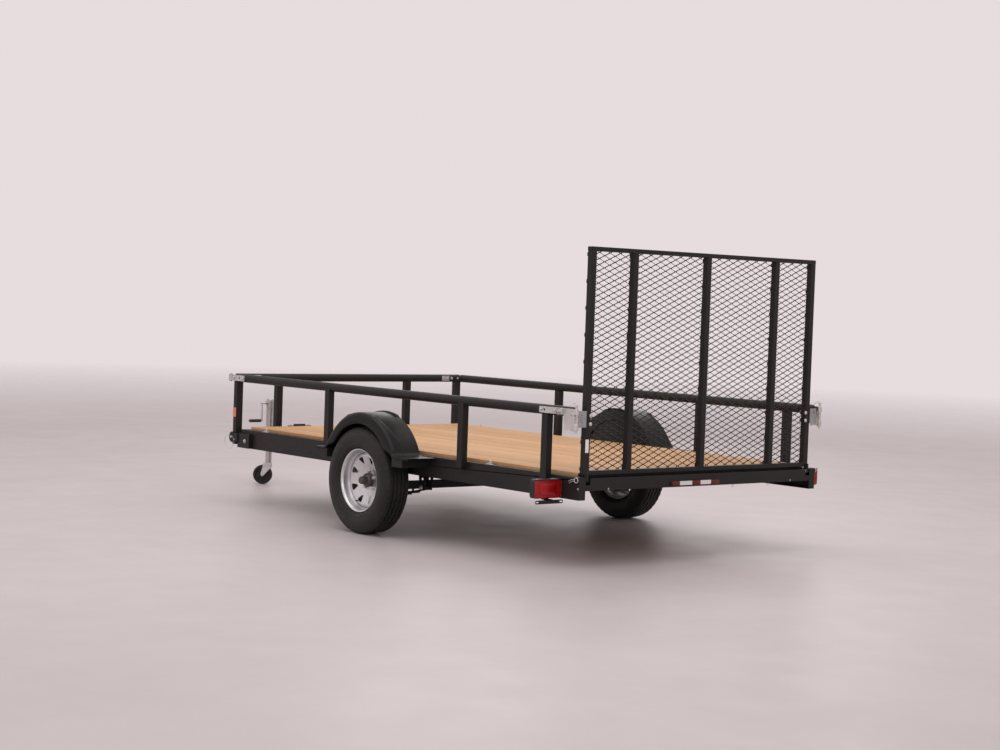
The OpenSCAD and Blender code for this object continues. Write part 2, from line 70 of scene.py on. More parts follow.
# --------------------------------------------------------------- materials
class NT:
    """A node material with short helpers."""

    def __init__(self, name):
        self.m = bpy.data.materials.new(name)
        self.m.use_nodes = True
        self.t = self.m.node_tree
        self.t.nodes.clear()
        out = self.t.nodes.new("ShaderNodeOutputMaterial")
        self.b = self.t.nodes.new("ShaderNodeBsdfPrincipled")
        self.t.links.new(self.b.outputs[0], out.inputs[0])
        self.co = self.t.nodes.new("ShaderNodeTexCoord").outputs["Object"]

    def put(self, socket, value):
        if isinstance(value, bpy.types.NodeSocket):
            self.t.links.new(value, socket)
        elif hasattr(value, "__len__") and len(value) == 3 and socket.type == "RGBA":
            socket.default_value = (*value, 1.0)
        else:
            socket.default_value = value

    def set(self, **kw):
        names = {"base": "Base Color", "rough": "Roughness", "metal": "Metallic", "normal": "Normal", "coat": "Coat Weight",
                 "coat_rough": "Coat Roughness", "sheen": "Sheen Weight", "spec": "Specular IOR Level", "ior": "IOR",
                 "emit": "Emission Color", "emit_s": "Emission Strength"}
        for k, v in kw.items():
            self.put(self.b.inputs[names[k]], v)
        return self

    def scaled(self, x, y, z, add=None):
        n = self.t.nodes.new("ShaderNodeVectorMath")
        n.operation = "MULTIPLY"
        self.put(n.inputs[0], self.co)
        n.inputs[1].default_value = (x, y, z)
        if add is None:
            return n.outputs[0]
        a = self.t.nodes.new("ShaderNodeVectorMath")
        a.operation = "ADD"
        self.t.links.new(n.outputs[0], a.inputs[0])
        self.put(a.inputs[1], add)
        return a.outputs[0]

    def noise(self, scale, detail=4.0, rough=0.55, vec=None, distortion=0.0):
        n = self.t.nodes.new("ShaderNodeTexNoise")
        self.put(n.inputs["Vector"], vec if vec is not None else self.co)
        n.inputs["Scale"].default_value = scale
        n.inputs["Detail"].default_value = detail
        n.inputs["Roughness"].default_value = rough
        n.inputs["Distortion"].default_value = distortion
        return n.outputs[0]

    def voronoi(self, scale, vec=None, out="Distance", feature="F1"):
        n = self.t.nodes.new("ShaderNodeTexVoronoi")
        n.feature = feature
        self.put(n.inputs["Vector"], vec if vec is not None else self.co)
        n.inputs["Scale"].default_value = scale
        return n.outputs[out]

    def wave(self, scale, vec=None, distortion=0.0, direction="X", detail=2.0, dscale=1.0):
        n = self.t.nodes.new("ShaderNodeTexWave")
        n.bands_direction = direction
        self.put(n.inputs["Vector"], vec if vec is not None else self.co)
        n.inputs["Scale"].default_value = scale
        n.inputs["Distortion"].default_value = distortion
        n.inputs["Detail"].default_value = detail
        n.inputs["Detail Scale"].default_value = dscale
        return n.outputs["Fac"]

    def ramp(self, fac, *stops):
        n = self.t.nodes.new("ShaderNodeValToRGB")
        self.t.links.new(fac, n.inputs[0])
        el = n.color_ramp.elements
        while len(el) < len(stops):
            el.new(0.5)
        for e, (p, c) in zip(el, stops):
            e.position = p
            e.color = (*c, 1.0) if hasattr(c, "__len__") else (c, c, c, 1.0)
        return n.outputs[0]

    def mix(self, fac, a, b, blend="MIX"):
        n = self.t.nodes.new("ShaderNodeMix")
        n.data_type = "RGBA"
        n.blend_type = blend
        self.put(n.inputs[0], fac)
        self.put(n.inputs[6], a)
        self.put(n.inputs[7], b)
        return n.outputs[2]

    def math(self, op, a, b=0.0, c=0.0):
        n = self.t.nodes.new("ShaderNodeMath")
        n.operation = op
        self.put(n.inputs[0], a)
        self.put(n.inputs[1], b)
        self.put(n.inputs[2], c)
        return n.outputs[0]

    def span(self, fac, lo, hi, from_lo=0.3, from_hi=0.7):
        n = self.t.nodes.new("ShaderNodeMapRange")
        self.put(n.inputs[0], fac)
        n.inputs[1].default_value = from_lo
        n.inputs[2].default_value = from_hi
        n.inputs[3].default_value = lo
        n.inputs[4].default_value = hi
        return n.outputs[0]

    def bump(self, height, strength, distance, normal=None):
        n = self.t.nodes.new("ShaderNodeBump")
        n.inputs["Strength"].default_value = strength
        n.inputs["Distance"].default_value = distance
        self.t.links.new(height, n.inputs["Height"])
        if normal is not None:
            self.t.links.new(normal, n.inputs["Normal"])
        return n.outputs[0]

    def attr(self, name):
        n = self.t.nodes.new("ShaderNodeAttribute")
        n.attribute_name = name
        return n

    def sep(self, vec=None):
        n = self.t.nodes.new("ShaderNodeSeparateXYZ")
        self.put(n.inputs[0], vec if vec is not None else self.co)
        return n.outputs


def m_black(name="black_paint", lo=(0.0105, 0.0088, 0.0088), hi=(0.0165, 0.0140, 0.0140), r=(0.40, 0.54)):
    n = NT(name)
    big, fine = n.noise(2.6, 5), n.noise(46, 6, 0.6)
    base = n.mix(n.span(big, 0, 1), lo, hi)
    scuff = n.ramp(n.noise(9, 8, 0.72), (0.60, 0.0), (0.74, 1.0))
    base = n.mix(n.math("MULTIPLY", scuff, 0.20), base, (0.045, 0.040, 0.038))
    rough = n.math("ADD", n.span(fine, r[0], r[1]), n.math("MULTIPLY", scuff, 0.12))
    peel = n.bump(n.noise(620, 2, 0.5), 0.10, 0.0006)
    n.set(base=base, rough=rough, metal=0.0, spec=0.26, normal=n.bump(n.noise(40, 3), 0.05, 0.002, peel))
    return n.m


def m_zinc(name="zinc", base=(0.68, 0.665, 0.655), r=(0.30, 0.46), tint=(0.52, 0.51, 0.50)):
    n = NT(name)
    blotch = n.noise(16, 6, 0.62)
    brush = n.noise(30, 4, 0.6, n.scaled(9, 1.2, 9))
    col = n.mix(n.span(blotch, 0, 1), base, tint)
    stain = n.ramp(n.noise(55, 8, 0.7), (0.62, 0.0), (0.78, 1.0))
    col = n.mix(n.math("MULTIPLY", stain, 0.30), col, (0.42, 0.40, 0.36))
    rough = n.math("ADD", n.span(brush, r[0], r[1]), n.math("MULTIPLY", stain, 0.12))
    n.set(base=col, rough=rough, metal=0.92, normal=n.bump(n.noise(260, 3), 0.07, 0.0008))
    return n.m


def m_galv(name="galvanised"):
    n = NT(name)
    cells = n.voronoi(60, out="Color")
    s = n.sep(cells)[0]
    col = n.mix(n.span(s, 0, 1, 0, 1), (0.62, 0.62, 0.635), (0.70, 0.70, 0.715))
    dirt = n.ramp(n.noise(22, 7, 0.66), (0.56, 0.0), (0.78, 1.0))
    col = n.mix(n.math("MULTIPLY", dirt, 0.12), col, (0.44, 0.42, 0.40))
    rough = n.math("ADD", n.span(s, 0.30, 0.34, 0, 1), n.math("MULTIPLY", dirt, 0.06))
    n.set(base=col, rough=rough, metal=0.93, normal=n.bump(n.noise(320, 3), 0.03, 0.0004))
    return n.m


def m_wood():
    n = NT("deck_wood")
    b = n.attr("board").outputs["Fac"]
    off = n.t.nodes.new("ShaderNodeCombineXYZ")
    n.put(off.inputs[0], n.math("MULTIPLY", b, 37.0))
    n.put(off.inputs[1], n.math("MULTIPLY", b, 91.0))
    n.put(off.inputs[2], n.math("MULTIPLY", b, 53.0))
    v = n.scaled(0.55, 7.0, 7.0, off.outputs[0])
    bands = n.wave(2.4, v, 7.5, "Y", 3.0, 0.8)
    streak = n.noise(9.0, 8, 0.62, n.scaled(0.5, 16, 16, off.outputs[0]))
    fibre = n.noise(60, 5, 0.65, n.scaled(0.35, 9, 9, off.outputs[0]))
    late = n.ramp(bands, (0.42, 0.0), (0.86, 1.0))
    tone = n.mix(b, (0.480, 0.272, 0.120), (0.585, 0.350, 0.165))
    tone = n.mix(n.math("MULTIPLY", late, 0.55), tone, (0.360, 0.178, 0.066))
    tone = n.mix(n.math("MULTIPLY", n.ramp(streak, (0.50, 0.0), (0.72, 1.0)), 0.60), tone, (0.29, 0.145, 0.058))
    tone = n.mix(n.math("MULTIPLY", n.ramp(fibre, (0.45, 0.0), (0.75, 1.0)), 0.28), tone, (0.50, 0.33, 0.17))
    kv = n.scaled(1.7, 5.2, 5.2, off.outputs[0])
    kd = n.voronoi(1.0, kv)
    kc = n.sep(n.voronoi(1.0, kv, "Color"))[0]
    knot = n.math("MULTIPLY", n.ramp(kd, (0.045, 1.0), (0.085, 0.0)), n.ramp(kc, (0.52, 0.0), (0.56, 1.0)))
    halo = n.math("MULTIPLY", n.ramp(kd, (0.06, 1.0), (0.20, 0.0)), n.ramp(kc, (0.52, 0.0), (0.56, 1.0)))
    tone = n.mix(n.math("MULTIPLY", halo, 0.35), tone, (0.45, 0.24, 0.09))
    tone = n.mix(n.math("MULTIPLY", knot, 0.85), tone, (0.20, 0.09, 0.03))
    grey = n.ramp(n.noise(1.3, 6, 0.6, n.scaled(1, 3, 3)), (0.50, 0.0), (0.78, 1.0))
    tone = n.mix(n.math("MULTIPLY", grey, 0.16), tone, (0.46, 0.37, 0.27))
    h = n.math("ADD", n.math("MULTIPLY", late, 0.5), n.math("MULTIPLY", fibre, 0.8))
    saw = n.wave(55, None, 1.4, "X", 2.0, 2.0)
    h = n.math("ADD", h, n.math("MULTIPLY", saw, 0.12))
    n.set(base=tone, rough=n.span(fibre, 0.58, 0.76), spec=0.35, normal=n.bump(h, 0.30, 0.0012))
    return n.m


def m_rubber(name="tyre_rubber", base=(0.0135, 0.0120, 0.0118), dust=(0.040, 0.034, 0.031), amount=0.5):
    n = NT(name)
    d = n.ramp(n.noise(7.5, 7, 0.66), (0.42, 0.0), (0.72, 1.0))
    col = n.mix(n.math("MULTIPLY", d, amount), base, dust)
    n.set(base=col, rough=n.span(n.noise(38, 5), 0.50, 0.66), spec=0.30,
          normal=n.bump(n.noise(520, 3), 0.12, 0.0006, n.bump(n.noise(60, 4), 0.08, 0.0015)), sheen=0.02)
    return n.m


def m_plastic(name, base, r=(0.38, 0.5), grain=900, coat=0.0, var=0.35, gs=0.16, spec=0.36):
    n = NT(name)
    hi = tuple(min(1, c * (1 + var) + 0.003) for c in base)
    col = n.mix(n.span(n.noise(5, 5), 0, 1), base, hi)
    n.set(base=col, rough=n.span(n.noise(30, 5), *r), spec=spec, coat=coat, coat_rough=0.2,
          normal=n.bump(n.noise(grain, 2), gs, 0.0005))
    return n.m


def m_lens(name, base, deep, cell=170, glow=0.0):
    """Moulded clear plastic over a prism pattern."""
    n = NT(name)
    a, b = n.wave(cell / 2.0, None, 0, "Y"), n.wave(cell / 2.0, None, 0, "Z")
    prism = n.math("MULTIPLY", a, b)
    patch = n.noise(13, 4, 0.6)
    col = n.mix(n.span(patch, 0, 1), base, deep)
    col = n.mix(n.math("MULTIPLY", prism, 0.35), col, tuple(min(1, c * 1.5) for c in base))
    n.set(base=col, rough=n.span(n.noise(25, 4), 0.10, 0.22), spec=0.3, coat=0.22, coat_rough=0.08,
          normal=n.bump(prism, 0.35, 0.0014), emit=base, emit_s=glow)
    return n.m


BLACK = m_black()
ZINC = m_zinc()
# darker copy of the zinc finish for the gate latch plates: painted shade, the plates are the same plain zinc
ZINC_PAINTED_SHADE = m_zinc("zinc_dull", (0.40, 0.41, 0.42), (0.34, 0.48), (0.29, 0.30, 0.31))
STEEL_WIRE = m_zinc("bright_wire", (0.66, 0.67, 0.67), (0.26, 0.40), (0.50, 0.51, 0.51))
GALV = m_galv()
WOOD = m_wood()
RUBBER = m_rubber()
TREAD = m_rubber("tyre_tread", (0.012, 0.011, 0.0105), (0.038, 0.032, 0.028), 0.7)
FENDER = m_plastic("fender_plastic", (0.0046, 0.0038, 0.0041), (0.31, 0.42), 1300, 0.0, 0.25, 0.05, 0.20)
PLASTIC = m_plastic("black_plastic", (0.011, 0.010, 0.010), (0.40, 0.55), 1000)
WHEEL_GREY = m_plastic("jack_wheel_plastic", (0.013, 0.012, 0.012), (0.42, 0.58), 700)
DARK = m_zinc("dark_steel", (0.050, 0.048, 0.047), (0.36, 0.52), (0.030, 0.029, 0.029))
HUB = m_zinc("hub_grey", (0.13, 0.120, 0.115), (0.38, 0.55), (0.070, 0.064, 0.062))
JACKZ = m_zinc("jack_zinc", (0.56, 0.535, 0.52), (0.26, 0.42), (0.40, 0.38, 0.37))
RED = m_lens("red_lens", (0.37, 0.0022, 0.0035), (0.15, 0.001, 0.0016), 150, 0.02)
MARKER = m_lens("marker_lens", (0.17, 0.0035, 0.006), (0.07, 0.0015, 0.003), 200, 0.0)
# the amber reflector's faint emission (glow 0.02) is painted light: a reflector is no lamp
AMBER = m_lens("amber_reflector", (0.72, 0.20, 0.11), (0.55, 0.13, 0.06), 260, 0.02)
SILVER = m_plastic("silver_panel", (0.66, 0.645, 0.64), (0.30, 0.45), 500, 0.3, 0.12)
LABEL = m_plastic("label", (0.74, 0.735, 0.73), (0.42, 0.55), 300, 0.1, 0.08, 0.05)
BRASS = m_zinc("screw_head", (0.36, 0.31, 0.24), (0.40, 0.55), (0.22, 0.18, 0.13))


# --------------------------------------------------------------- mesh kit
class Kit:
    """Collects faces in millimetres: X from the bed's rear end, y to the left, z up."""

    def __init__(self):
        self.v, self.f, self.mi, self.cur = [], [], [], 0

    def add(self, verts, faces, M=None):
        n = len(self.v)
        if M is not None:
            verts = [M @ Vector(p) for p in verts]
        self.v.extend((p[0], p[1], p[2]) for p in verts)
        self.f.extend(tuple(n + i for i in q) for q in faces)
        self.mi.extend([self.cur] * len(faces))
        return self

    def mirrored(self, nv=0, nf=0):
        """Adds the other side's copy of what was added since nv vertices and nf faces."""
        n, m = len(self.v), len(self.f)
        self.v.extend((x, -y, z) for x, y, z in self.v[nv:n])
        self.f.extend(tuple(n - nv + i for i in reversed(q)) for q in self.f[nf:m])
        self.mi.extend(self.mi[nf:m])
        return self

    def box(self, x0, x1, y0, y1, z0, z1, c=0.8, M=None):
        lo, hi = (x0, y0, z0), (x1, y1, z1)
        c = min(c, 0.45 * min(abs(hi[k] - lo[k]) for k in range(3)))
        idx, verts, faces = {}, [], []
        for sx in (0, 1):
            for sy in (0, 1):
                for sz in (0, 1):
                    s = (sx, sy, sz)
                    for k in range(3):
                        p = [(lo[j] + c) if s[j] == 0 else (hi[j] - c) for j in range(3)]
                        p[k] = lo[k] if s[k] == 0 else hi[k]
                        idx[s, k] = len(verts)
                        verts.append(tuple(p))
        for k in range(3):
            i, j = [a for a in range(3) if a != k]
            for s in (0, 1):
                q = []
                for a, b in ((0, 0), (1, 0), (1, 1), (0, 1)):
                    t = [0, 0, 0]
                    t[k], t[i], t[j] = s, a, b
                    q.append(idx[tuple(t), k])
                faces.append(tuple(q))
            for a in (0, 1):
                for b in (0, 1):
                    t0, t1 = [0, 0, 0], [0, 0, 0]
                    t0[i], t0[j], t0[k] = a, b, 0
                    t1[i], t1[j], t1[k] = a, b, 1
                    t0, t1 = tuple(t0), tuple(t1)
                    faces.append((idx[t0, i], idx[t1, i], idx[t1, j], idx[t0, j]))
        for s in {k[0] for k in idx}:
            faces.append((idx[s, 0], idx[s, 1], idx[s, 2]))
        return self.add(verts, faces, M)

    def lathe(self, prof, origin, axis, seg=32, closed=False, phase=0.0):
        """prof holds (radius, height along axis)."""
        a = Vector(axis).normalized()
        t = Vector((0, 0, 1)) if abs(a.z) < 0.9 else Vector((1, 0, 0))
        u = a.cross(t).normalized()
        w = a.cross(u)
        o = Vector(origin)
        verts, rows = [], []
        for r, h in prof:
            if r < 1e-6:
                rows.append([len(verts)] * seg)
                verts.append(o + a * h)
            else:
                row = []
                for k in range(seg):
                    g = 2 * PI * k / seg + phase
                    row.append(len(verts))
                    verts.append(o + a * h + (u * math.cos(g) + w * math.sin(g)) * r)
                rows.append(row)
        faces = []
        pairs = list(zip(rows, rows[1:])) + ([(rows[-1], rows[0])] if closed else [])
        for p, q in pairs:
            for k in range(seg):
                l = (k + 1) % seg
                f = [p[k], p[l], q[l], q[k]]
                g = [x for i, x in enumerate(f) if x not in f[:i]]
                if len(g) > 2:
                    faces.append(tuple(g))
        return self.add(verts, faces)

    def cyl(self, p0, p1, r, seg=28, c=0.6, r1=None):
        p0, p1 = Vector(p0), Vector(p1)
        d = (p1 - p0).length
        r1 = r if r1 is None else r1
        c = min(c, 0.4 * d, 0.4 * min(r, r1))
        return self.lathe([(0, 0), (r - c, 0), (r, c), (r1, d - c), (r1 - c, d), (0, d)], p0, p1 - p0, seg)

    def tube(self, pts, r, seg=8, closed=False):
        pts = [Vector(p) for p in pts]
        n = len(pts)
        verts, faces = [], []
        prev = None
        for i, p in enumerate(pts):
            a = pts[(i - 1) % n] if closed or i else pts[i]
            b = pts[(i + 1) % n] if closed or i < n - 1 else pts[i]
            t = (b - a).normalized()
            if prev is None:
                x = Vector((0, 0, 1)) if abs(t.z) < 0.9 else Vector((1, 0, 0))
                u = t.cross(x).normalized()
            else:
                u = (prev - t * prev.dot(t)).normalized()
            prev = u
            w = t.cross(u)
            for k in range(seg):
                g = 2 * PI * k / seg
                verts.append(p + (u * math.cos(g) + w * math.sin(g)) * r)
        for i in range(n if closed else n - 1):
            j = (i + 1) % n
            for k in range(seg):
                l = (k + 1) % seg
                faces.append((i * seg + k, i * seg + l, j * seg + l, j * seg + k))
        if not closed:
            faces.append(tuple(range(seg)))
            faces.append(tuple((n - 1) * seg + k for k in range(seg)))
        return self.add(verts, faces)

    def plate(self, loops, M, t0, t1, c=0.4):
        """loops[0] is the outline and the rest are holes, in M's x and y; t0..t1 is along M's z. Edges are chamfered by c."""
        def inset(loop, d):
            n = len(loop)
            out = []
            area = sum(loop[i][0] * loop[(i + 1) % n][1] - loop[(i + 1) % n][0] * loop[i][1] for i in range(n))
            s = 1 if area > 0 else -1
            for i in range(n):
                a, b, e = Vector(loop[i - 1]), Vector(loop[i]), Vector(loop[(i + 1) % n])
                n1 = Vector((-(b - a).y, (b - a).x)).normalized() * s
                n2 = Vector((-(e - b).y, (e - b).x)).normalized() * s
                m = (n1 + n2)
                m = m / max(0.3, m.length_squared / 2)
                out.append(tuple(b + m * d))
            return out
        rings = []
        for k, loop in enumerate(loops):
            sm = inset(loop, c if k == 0 else -c)
            rings.append((sm, loop))
        verts, faces = [], []
        flat = [[Vector((x, y, 0)) for x, y in sm] for sm, _ in rings]
        tris = tessellate_polygon(flat)
        base, starts = [], []
        for sm, _ in rings:
            starts.append(len(base))
            base.extend(sm)
        nb = len(base)
        for z in (t0, t1):
            verts.extend((x, y, z) for x, y in base)
        for t in tris:
            faces.append(tuple(t))
            faces.append(tuple(nb + i for i in reversed(t)))
        for (sm, loop), st in zip(rings, starts):
            n = len(loop)
            a = len(verts)
            verts.extend((x, y, t0 + c) for x, y in loop)
            verts.extend((x, y, t1 - c) for x, y in loop)
            for i in range(n):
                j = (i + 1) % n
                faces.append((st + i, st + j, a + j, a + i))
                faces.append((a + i, a + j, a + n + j, a + n + i))
                faces.append((a + n + i, a + n + j, nb + st + j, nb + st + i))
        return self.add(verts, faces, M)

    def bolt(self, p, d, s=13.0, h=6.0, washer=True, shank=0.0, rot=0.0):
        """Hex head of s across flats at p, its top along d."""
        p, d = Vector(p), Vector(d).normalized()
        r = s / math.sqrt(3)
        if washer:
            self.lathe([(0, 0), (s * 0.88, 0), (s * 0.92, 0.4), (s * 0.92, 1.6), (s * 0.88, 2.0), (0, 2.0)], p, d, 24)
            p = p + d * 2.0
        self.lathe([(0, 0), (r, 0), (r, h - 1.2), (r * 0.86, h), (r * 0.5, h), (r * 0.46, h - 0.4), (0, h - 0.4)], p, d, 6, phase=rot)
        if shank:
            self.cyl(p + d * (h - 0.5), p + d * (h + shank), s * 0.30, 14, 0.8)
        return self

    def carriage(self, p, d, r=9.5, h=5.0):
        """Round-headed bolt."""
        prof = [(0, h)] + [(r * math.sin(a), h * math.cos(a)) for a in [i * PI / 16 for i in range(1, 8)]] + [(r, 0.0), (r * 0.9, -0.2), (0, -0.2)]
        return self.lathe(prof, p, d, 20)


def piece(kit, name, body, mats, replaces=(), angle=33, attrs=None, fix=True):
    me = bpy.data.meshes.new(name)
    co = np.array(kit.v, float)
    co[:, 0] -= XC
    co /= 1000.0
    me.from_pydata(co.tolist(), [], kit.f)
    mats = mats if isinstance(mats, (list, tuple)) else [mats]
    for m in mats:
        me.materials.append(m)
    me.polygons.foreach_set("material_index", kit.mi)
    if attrs is not None:
        a = me.attributes.new("board", "FLOAT", "POINT")
        a.data.foreach_set("value", attrs)
    if fix:
        bm = bmesh.new()
        bm.from_mesh(me)
        bmesh.ops.recalc_face_normals(bm, faces=bm.faces)
        bm.to_mesh(me)
        bm.free()
    me.update()
    me.shade_smooth()
    me.set_sharp_from_angle(angle=math.radians(angle))
    o = bpy.data.objects.new(name, me)
    bpy.context.scene.collection.objects.link(o)
    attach(o, body)
    if replaces:
        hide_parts(*replaces)
    return o


def arc(cx, cy, r, a0, a1, n):
    return [(cx + r * math.cos(math.radians(a0 + (a1 - a0) * i / n)), cy + r * math.sin(math.radians(a0 + (a1 - a0) * i / n))) for i in range(n + 1)]


def rrect(x0, x1, y0, y1, r, n=5):
    return (arc(x1 - r, y1 - r, r, 0, 90, n) + arc(x0 + r, y1 - r, r, 90, 180, n)
            + arc(x0 + r, y0 + r, r, 180, 270, n) + arc(x1 - r, y0 + r, r, 270, 360, n))


def plane(origin, x, y):
    x, y = Vector(x).normalized(), Vector(y).normalized()
    m = Matrix((x, y, x.cross(y))).transposed().to_4x4()
    return Matrix.Translation(origin) @ m


# --------------------------------------------- carried-over CAD nodes
finish = {
    "left_side_beam": BLACK, "right_side_beam": BLACK, "front_cross_member": BLACK, "rear_cross_member": BLACK,
    "floor_cross_members": BLACK, "tongue_tube": BLACK, "left_top_rail": BLACK, "right_top_rail": BLACK,
    "left_posts": BLACK, "right_posts": BLACK, "axle_beam": BLACK, "spring_hangers": BLACK, "fender_brackets": BLACK,
    "front_hinge_brackets": BLACK, "gate_frame": BLACK, "front_rail": BLACK,
    # the gate latch plates take the darker zinc copy, which is painted shade
    "gate_hinge_pins": BLACK, "gate_latches": ZINC, "front_latches": ZINC, "gate_latch_plates": ZINC_PAINTED_SHADE, "front_rail_plates": ZINC,
    "jack_mount": ZINC, "jack_body": JACKZ, "jack_ram": JACKZ, "jack_yoke": ZINC, "jack_wheel_axle": ZINC,
    "ball_coupler": ZINC, "leaf_springs": DARK, "spring_plates": DARK, "jack_crank": ZINC,
    "left_hub": HUB, "right_hub": HUB,
}
soft_edge = {"left_side_beam": 3.0, "right_side_beam": 3.0, "gate_frame": 3.0, "left_posts": 3.0, "right_posts": 3.0, "front_rail": 3.0,
             "tongue_tube": 4.0, "rear_cross_member": 2.5, "front_cross_member": 3.0, "front_hinge_brackets": 2.0, "fender_brackets": 2.0,
             "gate_latch_plates": 1.0, "gate_latches": 1.0, "front_latches": 1.0, "axle_beam": 2.0, "ball_coupler": 1.2,
             "jack_yoke": 0.8, "jack_mount": 1.5, "spring_hangers": 1.2, "front_rail_plates": 1.0, "jack_body": 1.2, "leaf_springs": 0.8}
for node, m in finish.items():
    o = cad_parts[node]
    o.data.materials.clear()
    o.data.materials.append(m)
    for p in o.data.polygons:
        p.material_index = 0
    if node in soft_edge:
        w = o.modifiers.new("weld", "WELD")
        w.merge_threshold = 1e-5
        b = o.modifiers.new("edges", "BEVEL")
        b.limit_method = "ANGLE"
        b.angle_limit = math.radians(40)
        b.width = soft_edge[node] / 1000.0
        b.segments = 2
        b.use_clamp_overlap = True
        b.harden_normals = False
        wn = o.modifiers.new("normals", "WEIGHTED_NORMAL")
        wn.keep_sharp = False


# ------------------------------------------------------------ gate mesh
def gate_mesh():
    """Raised expanded metal: flat strands, turned so that one family shows its face and the other its edge."""
    k = Kit()
    W, H, wid, thk, tau = 80.6, 34.8, 5.0, 2.2, math.radians(54)
    y0, y1, z0, z1 = -927.0, 927.0, 543.0, 1832.0
    X = 59.4
    zs = z0 + 9.0

    def clip(p, q):
        t0, t1 = 0.0, 1.0
        d = (q[0] - p[0], q[1] - p[1])
        for s, a, lo, hi in ((d[0], p[0], y0, y1), (d[1], p[1], z0, z1)):
            if abs(s) < 1e-9:
                if a < lo or a > hi:
                    return None
                continue
            u, w = (lo - a) / s, (hi - a) / s
            if u > w:
                u, w = w, u
            t0, t1 = max(t0, u), min(t1, w)
        return (t0, t1) if t1 - t0 > 0.06 else None

    bond = 9.0
    nj = int((z1 - zs) / (H / 2)) + 2
    ni = int((y1 - y0) / (W / 2)) + 2
    for j in range(-1, nj):
        for i in range(-1, ni + 1):
            if (i + j) % 2:
                continue
            p = (y0 + i * W / 2, zs + j * H / 2)
            for s in (-1, 1):
                q = (p[0] + s * (W / 2), p[1] + H / 2)
                c = clip(p, q)
                if c is None:
                    continue
                a = (p[0] + (q[0] - p[0]) * c[0], p[1] + (q[1] - p[1]) * c[0])
                b = (p[0] + (q[0] - p[0]) * c[1], p[1] + (q[1] - p[1]) * c[1])
                d = Vector((0, b[0] - a[0], b[1] - a[1]))
                L = d.length
                d.normalize()
                n0 = Vector((-math.cos(tau), 0, math.sin(tau)))
                nn = (n0 - d * n0.dot(d)).normalized()
                w = d.cross(nn).normalized()
                vs, fs = [], []
                steps = (0.0, 0.14, 0.86, 1.0)
                for t in steps:
                    o = Vector((X + (0.9 if 0 < t < 1 else 0.0), a[0], a[1])) + d * (L * t)
                    ww = wid * (0.5 if 0 < t < 1 else 0.42)
                    for su, sw in ((-1, -1), (1, -1), (1, 1), (-1, 1)):
                        vs.append(o + w * (ww * su) + nn * (thk * 0.5 * sw))
                for r in range(3):
                    for e in range(4):
                        g = (e + 1) % 4
                        fs.append((r * 4 + e, r * 4 + g, r * 4 + 4 + g, r * 4 + 4 + e))
                fs += [(0, 1, 2, 3), (12, 13, 14, 15)]
                k.add(vs, fs)
            if y0 + bond < p[0] < y1 - bond and z0 + 4 < p[1] < z1 - 4:
                k.box(X - 1.6, X + 2.0, p[0] - bond, p[0] + bond, p[1] - 2.6, p[1] + 2.6, 0.9)
    return piece(k, "gate_mesh", "ramp_gate", BLACK, ["gate_grille"], 28, fix=True)


gate_mesh()


def gate_trim():
    k = Kit()
    # stitch welds of the mesh to the uprights, and end caps of the top bar
    for y in (-921, -595, 0, 595, 921):
        for z in range(575, 1800, 152):
            for s in (-1, 1):
                yy = y + s * 17.5
                k.tube([(57.2, yy, z - 11), (58.2, yy + 0.4 * s, z - 4), (58.0, yy - 0.2, z + 4), (57.2, yy, z + 11)], 2.4, 6)
    for s in (-1, 1):
        k.box(20, 54, s * 941.6 - 1.6, s * 941.6 + 1.6, 1812, 1833, 1.2)
    # weld beads where the uprights meet the bars
    for y in (-595, 0, 595):
        for z, dz in ((565, 1), (1809.5, -1)):
            pts = [(17.6, y - 18, z), (16.9, y - 9, z + 0.7 * dz), (17.3, y, z), (16.9, y + 9, z + 0.7 * dz), (17.6, y + 18, z)]
            k.tube(pts, 2.2, 6)
    piece(k, "gate_welds", "ramp_gate", BLACK)
    z = Kit()
    for s in (-1, 1):
        for zz in (830, 878):
            z.carriage((18.0, s * 905, zz), (-1, 0, 0), 11.5, 6.0)
            z.bolt((56.5, s * 905, zz), (1, 0, 0), 15, 8, True, 4)
    piece(z, "gate_bolts", "ramp_gate", ZINC)
    l = Kit()
    l.plate([rrect(-12.5, 12.5, -38, 38, 2.0, 3)], plane((17.2, 926, 706), (0, -1, 0), (0, 0, 1)), -0.1, 0.5, 0.15)
    piece(l, "gate_blank_label", "ramp_gate", LABEL)


gate_trim()


